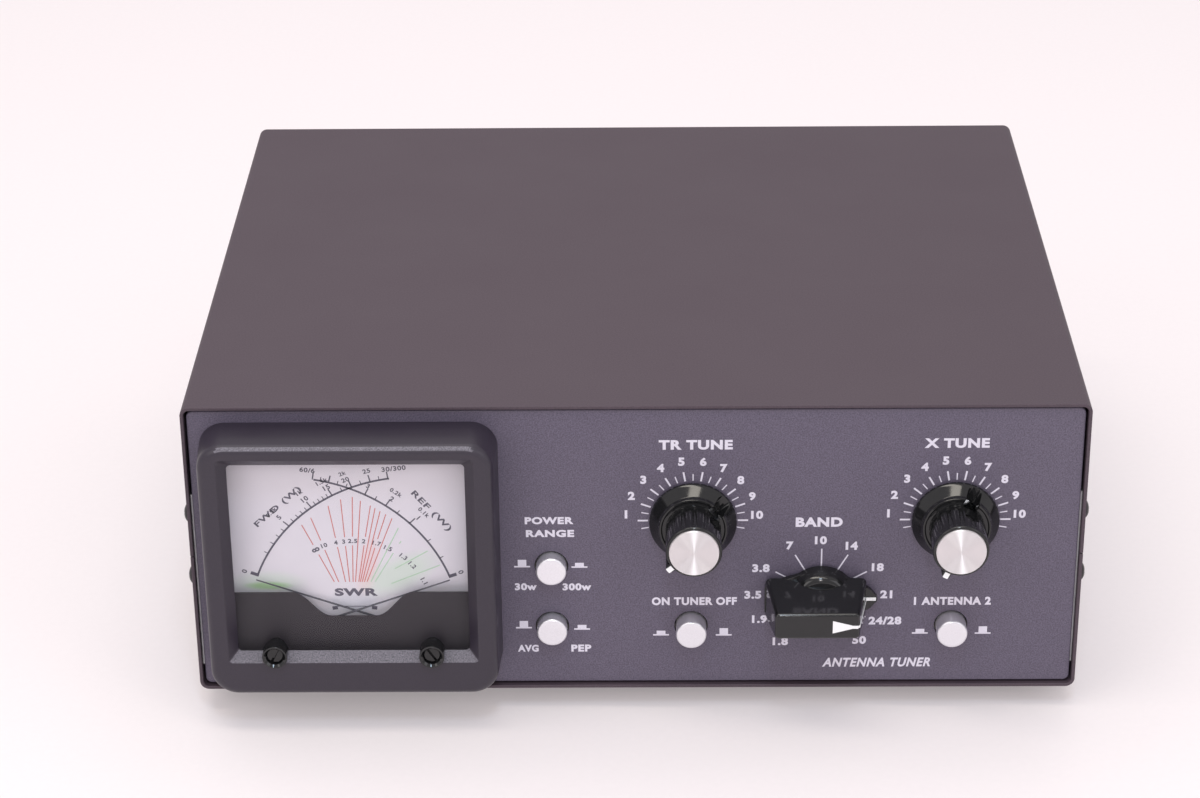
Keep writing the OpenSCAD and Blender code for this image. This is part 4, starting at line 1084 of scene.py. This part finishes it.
arrow = moved(slab("band_arrow", 1, 1, 0, 0.12), 0.5, 0, BAND_H)
edit(arrow)
pick(arrow, "VERT", lambda point: point.x < 0.5)
bpy.ops.transform.resize(value=(1, 3.9, 1), center_override=(0, 0, 0))
pick(arrow, "VERT", lambda point: point.x > 0.5)
bpy.ops.transform.resize(value=(1, 1.0, 1), center_override=(0, 0, 0))
bpy.ops.object.mode_set(mode="OBJECT")
arrow.data.transform(Matrix.Translation((2.4, 0, 0)) @ Matrix.Diagonal((5.4, 1, 1, 1)))


def band_line(x0, z0, x1, z1, width):
    """A thin white bar on the knob, in the plane through its axis and its pointer."""
    line = slab("line", math.hypot(x1 - x0, z1 - z0), width, 0, 0.12)
    alone(line)
    line.matrix_world = (Matrix.Translation(((x0 + x1) / 2, 0, (z0 + z1) / 2))
                         @ Matrix.Rotation(math.atan2(z0 - z1, x1 - x0), 4, "Y"))
    bpy.ops.object.transform_apply(location=True, rotation=True, scale=True)
    return line


lines = [band_line(7.4, BAND_H + 0.03, BAR_HIGH[1] - 0.4, BAND_H + 0.03, 0.9),
         band_line(BAR_HIGH[1] - 0.5, BAND_H + 0.03, BAR_HIGH[1] + 0.18, BAND_H - 0.55, 0.7),
         band_line(BAR_HIGH[1] + 0.1, BAND_H - 0.5, BAR_LOW[1] - 0.1, WING_H, 0.5),
         band_line(BAR_LOW[1] - 0.2, WING_H + 0.02, WING_TIP - 0.4, WING_H + 0.02, 1.0)]
marks = on_front(joined([arrow, *lines], "band_pointer_marks"), BAND_X, BAND_Z, KNOB_BACK)
fit(marks, "band_selector", "mark_white", white_fill, "band_knob_pointer")

# %% [markdown]
# ## Push buttons
# A button is a turned disc with a broad fillet round its face. Two stand out and two are latched in, so each
# takes its height from its CAD node.

# %% Buttons
BUTTON_R, BUTTON_FILLET = 4.3, 0.7
for node, (x, z) in BUTTONS.items():
    low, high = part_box(node)
    tall = (high.y - low.y) / MM
    button = turned(f"{node}_cap", [
        (BUTTON_R - 0.3, 0), (BUTTON_R, 0.3), (BUTTON_R, tall - BUTTON_FILLET),
        *arc(BUTTON_R - BUTTON_FILLET, tall - BUTTON_FILLET, BUTTON_FILLET, 12, 90, 8),
        (2.4, tall), (1.2, tall - 0.03)], 72)
    on_front(button, x, z, high.y / MM - FRONT_Y)
    fit(button, node.replace("button", "push"), "button_grey", button_paint, node, angle=50)

# %% [markdown]
# ## Legends on the front panel
# The legends only say what a control does, as on any tuner. A tuning knob's scale has a long line for each
# number and a short one between. Beside each button, two small signs show a button that stands out and one
# that is latched in.

# %% Front legends
LEGEND_Y = PANEL_FACE
NUMBER_H, NUMBER_BOLD = 2.6, 0.05
KNOB_NUMBER_R = 18.3
front_print = []
for text, x, z, w, h in (
        ("TR TUNE", 16.6, 77.7, 20.4, 3.0), ("X TUNE", 88.5, 77.9, 17.9, 3.0), ("BAND", 51.1, 53.3, 13.1, 3.0),
        ("POWER", -24.2, 54.1, 13.6, 2.3), ("RANGE", -24.0, 50.0, 13.5, 2.3), ("30w", -31.1, 32.9, 6.2, 2.3),
        ("300w", -16.7, 32.8, 8.1, 2.3), ("AVG", -30.8, 12.7, 5.9, 2.3), ("PEP", -15.7, 12.7, 5.7, 2.3),
        ("ON TUNER OFF", 16.4, 28.0, 24.0, 2.6), ("1 ANTENNA 2", 89.2, 27.8, 21.7, 2.6)):
    front_print.append(word(text, x, z, h, w, 0.047))
front_print.append(word("ANTENNA TUNER", 68.3, 7.7, 3.0, 30.8, 0.035, slant=0.25))

lines = []
for x, z in ((-32.0, 40.4), (-31.9, 20.5), (24.8, 17.9), (98.2, 18.2)):
    lines += [(x - 2.25, z - 1.0, x + 2.25, z - 1.0, 0.45), (x - 1.2, z + 0.2, x + 1.2, z + 0.2, 2.0)]
for x, z in ((-15.9, 40.1), (-15.4, 19.9), (7.0, 17.9), (80.4, 18.2)):
    lines += [(x - 2.25, z - 0.9, x + 2.25, z - 0.9, 0.45), (x - 1.25, z - 0.1, x + 1.25, z - 0.1, 1.1)]


def ray(x, z, angle, inner, outer, width):
    c, s = math.cos(math.radians(angle)), math.sin(math.radians(angle))
    return x + inner * c, z + inner * s, x + outer * c, z + outer * s, width


for x, z in (KNOBS["tr_turn"], KNOBS["x_turn"]):
    for half_step in range(-1, 20):
        long_one = half_step % 2 == 0
        outer, width = (15.4, 0.5) if long_one else (14.6, 0.32)
        lines.append(ray(x, z, 180 - 10 * half_step, 12.5, outer, width))
    for number in range(1, 11):
        a = math.radians(175 - 19 * (number - 1))
        front_print.append(word(str(number), x - 0.4 + KNOB_NUMBER_R * math.cos(a),
                                z + 0.4 + KNOB_NUMBER_R * math.sin(a), NUMBER_H, None, NUMBER_BOLD))
for step in range(11):
    lines.append(ray(BAND_X, BAND_Z, 240 - 30 * step, 9.0, 14.8, 0.4))
for text, angle, r in (("1.8", 234, 18.9), ("1.9", 205, 18.9), ("3.5", 180, 19.1), ("3.8", 153, 19.0),
                       ("7", 119.5, 18.2), ("10", 91, 17.5), ("14", 62, 17.8), ("18", 29, 18.1), ("21", 0, 18.5),
                       ("24/28", -25, 20.3), ("50", -53, 18.7)):
    a = math.radians(angle)
    front_print.append(word(text, BAND_X + r * math.cos(a), BAND_Z + r * math.sin(a),
                            NUMBER_H, None, NUMBER_BOLD))
front_print.append(strokes("legend_lines", lines))
front_legends = on_front(joined(front_print, "front_legends"), 0, 0, LEGEND_Y)
fit(front_legends, "case", "mark_white", legend_ink)

# %% [markdown]
# ## The rear
# A coaxial socket is a square flange with a threaded tube. The thread is a row of ridges: rings that step in
# and out along the tube. Four notches across its end take the plug's teeth. Each socket is held by four
# screws, and the earth stud has a nut, a washer and a wing nut.

# %% Coaxial sockets
FLANGE, FLANGE_T, HOLE_PITCH = 25.4, 1.6, 18.1
SOCKET_BORE, SOCKET_LEN, PITCH = 6.3, 11.5, 1.06


def thread(name, radius, low, high, pitch, depth):
    """A rod with ridges along it, which stand for a screw thread."""
    rings, z = [(radius - depth, low), (radius - depth, low + 0.1)], low + 0.1
    while z + pitch < high:
        rings += [(radius, z + 0.3 * pitch), (radius, z + 0.5 * pitch), (radius - depth, z + 0.8 * pitch),
                  (radius - depth, z + pitch)]
        z += pitch
    return turned(name, [*rings, (radius - depth, high)], 64)


def coaxial_socket():
    flange = slab("socket", FLANGE, FLANGE, 1.5, FLANGE_T)
    for x in (-1, 1):
        for y in (-1, 1):
            combine(flange, bar(x * HOLE_PITCH / 2, y * HOLE_PITCH / 2, 1.5, -1, 3, 24))
    eased(flange, 0.2, 2, 50)
    tube = thread("tube", SOCKET_R, -5, FLANGE_T + SOCKET_LEN, PITCH, 0.42)
    combine(flange, tube, "UNION")
    combine(flange, bar(0, 0, SOCKET_BORE, -6, 20, 64))
    for turn in (0, 90):
        combine(flange, moved(slab("notch", 18, 1.6, 0, 4), z=FLANGE_T + SOCKET_LEN - 1.6, turn=turn))
    return flange


REAR_FACE = BACK_Y - PANEL_FACE


def on_rear(piece, x, out=0.0, turn=0, z=SOCKET_Z):
    return place(piece, x, REAR_FACE + out, BOTTOM_Z + z, "rear", turn)


socket = coaxial_socket()
sockets = [on_rear(copied(socket), x) for x in SOCKETS]
bpy.data.objects.remove(socket)
fit(joined(sockets, "threaded_sockets"), "case", "socket_nickel", nickel, "coax_sockets")

# %% Screws, stud and hexagon nut
screw = dome_screw("socket_screw", 2.8, 2, 6, 1.5)
fittings = []
for x in SOCKETS:
    for dx in (-HOLE_PITCH / 2, HOLE_PITCH / 2):
        for dz in (-HOLE_PITCH / 2, HOLE_PITCH / 2):
            fittings.append(on_rear(copied(screw), x + dx, FLANGE_T, 23 * len(fittings), SOCKET_Z + dz))
bpy.data.objects.remove(screw)
STUD_OUT = 14 + PANEL_FACE
stud = thread("stud", STUD_R, -7, STUD_OUT - 0.3, 0.8, 0.3)
nut = eased(turned("nut", [(4.6, 0), (4.6, 3)], 6), 0.35, 3, 40)
fittings += [on_rear(stud, STUD_X), on_rear(nut, STUD_X)]
fit(joined(fittings, "socket_screws_and_stud"), "case", "plated_screw", plated_steel, "rear_fittings")

# %% Supply jack
jack = turned("jack_barrel", [(JACK_HOLE_R, -13), (JACK_HOLE_R, 0), (5.3, 0), (5.5, 0.2), (5.5, 1.5),
                              *arc(5.0, 1.5, 0.5, 0, 90), (3.3, 2.0)], 64)
combine(jack, bar(0, 0, 2.75, -10, 4, 48))
combine(jack, turned("mouth", [(2.75, 1.4), (3.3, 2.05)], 48))
fit(on_rear(jack, JACK_X), "case", "switch_plastic", inner_plastic, "supply_jack")
pin = turned("jack_pin", [(1.0, -10.2), (1.05, -10.1), (1.05, -0.1), (0.8, 0.4), (0.4, 0.5)], 24)
fit(on_rear(pin, JACK_X), "case", "socket_nickel", nickel)

# %% Washer and wing nut
washer = turned("stud_washer", [(4.9, 3), (5.0, 3.1), (5.0, 3.9), (4.9, 4)], 48)
combine(washer, bar(0, 0, 2.55, 2, 5, 32))
fit(on_rear(washer, STUD_X), "earth_clamp", "plated_screw", plated_steel, "earth_washer")

WING_TURN = 25
wing_nut = turned("brass_wing_nut", [(4.2, 4), (4.4, 4.2), (3.9, 8.6), (3.5, 9.0)], 48)
for side in (-1, 1):
    wing = eased(slab("wing", 8.4, 5.2, 1.9, 1.6, 6), 0.5, 3, 40)
    combine(wing_nut, moved(wing, side * 6.2, 0.8, 8.2, 0, 90), "UNION")
combine(wing_nut, bar(0, 0, 2.55, 2, 12, 32))
on_rear(eased(wing_nut, 0.12, 2, 50), STUD_X, turn=-WING_TURN)
fit(wing_nut, "earth_nut", "nut_brass", nut_brass, "wing_nut")

# %% Rear legends
rear_print = [word(text, -x, z, 2.6, None, 0.045) for text, x, z in (
    ("TX", SOCKETS[0], 63.5), ("ANT 1", SOCKETS[1], 63.5), ("ANT 2", SOCKETS[2], 63.5),
    ("12V DC", JACK_X, 56), ("GND", STUD_X, 56))]
rear_legends = on_rear(joined(rear_print, "rear_legends"), 0, z=0)
fit(rear_legends, "case", "mark_white", legend_ink)

# %% [markdown]
# ## Finishes for the CAD parts
# The parts that keep their CAD shape are mostly inside. Each gets the procedural finish of its record slot.

# %% CAD finishes
# most slots have a finish of the same name, and these have another
SLOT_FINISH = {
    "plated_screw": plated_steel, "window_glass": window_acrylic, "mask_black": mask_plastic,
    "meter_black": inner_plastic, "needle_black": needle_lacquer, "knob_black": knob_plastic,
    "cap_metal": cap_finishes["tr"], "mark_white": white_fill, "button_grey": button_paint,
    "ceramic_white": ceramic, "coil_wire": copper_wire, "socket_nickel": nickel,
}
for row in frame["record"]["subparts"]:
    part = frame["nodes"].get(row["node"])
    if part:
        slot = row["material_slot"]
        part.data.materials.clear()
        part.data.materials.append(SLOT_FINISH.get(slot) or FINISHES[slot])

# %% [markdown]
# ## Camera, floor and light
# The camera looks down a little from the front. The floor is white paper that glows slightly, as if it were
# lit from all round, so the shadow stays soft. Wide soft lights shape the case, and three narrow ones draw
# the highlights on the knobs' flanges, along the top of the bezel and across the caps.

# %% Camera
camera = bpy.data.objects.new("camera", bpy.data.cameras.new("camera"))
bpy.context.scene.collection.objects.link(camera)
camera.data.lens = 92.97
camera.data.sensor_width = 36
camera.matrix_world = (
    Matrix.Translation((0.0007, -0.8582, 0.4773))
    @ Matrix.Rotation(0.01363, 4, "Z")
    @ Matrix.Rotation(math.pi / 2 - 0.4631, 4, "X")
    @ Matrix.Rotation(-0.0106, 4, "Z")
)
bpy.context.scene.camera = camera
print("camera at", tuple(round(x, 3) for x in camera.location))

# %% Floor and lights
clear()
bpy.ops.mesh.primitive_plane_add(size=8)
floor = bpy.context.object
floor.name = "floor"
floor.data.materials.append(finish("floor_paper", (0.62, 0.58, 0.59), (0.7, 0.8), 2.0, 0.01, 0.01, patch=120,
                                   Emission_Color=(1.0, 0.93, 0.94, 1), Emission_Strength=0.27))

world = bpy.data.worlds.new("studio")
bpy.context.scene.world = world
world.use_nodes = True
world.node_tree.nodes["Background"].inputs["Color"].default_value = (1.0, 0.96, 0.975, 1)
world.node_tree.nodes["Background"].inputs["Strength"].default_value = 0.75


def softbox(name, place_at, aim, width, height, power, colour, shape="RECTANGLE"):
    light = bpy.data.objects.new(name, bpy.data.lights.new(name, "AREA"))
    bpy.context.scene.collection.objects.link(light)
    light.data.shape = shape
    light.data.size, light.data.size_y = width, height
    light.data.energy = power
    light.data.color = colour
    light.location = place_at
    light.rotation_euler = (Vector(aim) - Vector(place_at)).to_track_quat("-Z", "Y").to_euler()
    return light


softbox("overhead", (-0.1, 0.5, 1.5), (0, 0, 0.05), 1.2, 0.8, 3.5, (1.0, 0.97, 0.98))
softbox("front_left", (-1.2, -1.3, 1.2), (0, 0, 0.05), 0.9, 0.9, 4.5, (1.0, 0.96, 0.93))
softbox("front_right", (1.3, -1.2, 1.0), (0, 0, 0.05), 0.9, 0.9, 3, (0.95, 0.96, 1.0))
softbox("small_window", (0.03, -0.77, 1.2), (0.03, -0.1, 0.08), 0.15, 0.26, 2.8, (0.66, 0.82, 1.0))
softbox("over_camera", (0.05, -1.5, 1.0), (0.05, -0.13, 0.05), 0.12, 0.5, 3.0, (1.0, 0.97, 0.95))
softbox("long_strip", (-0.1, -0.35, 1.35), (0, -0.1, 0.08), 1.3, 0.24, 5, (1.0, 0.94, 0.84), "ELLIPSE")
bpy.context.scene.view_settings.view_transform = "Standard"
print("floor, world and six softboxes")
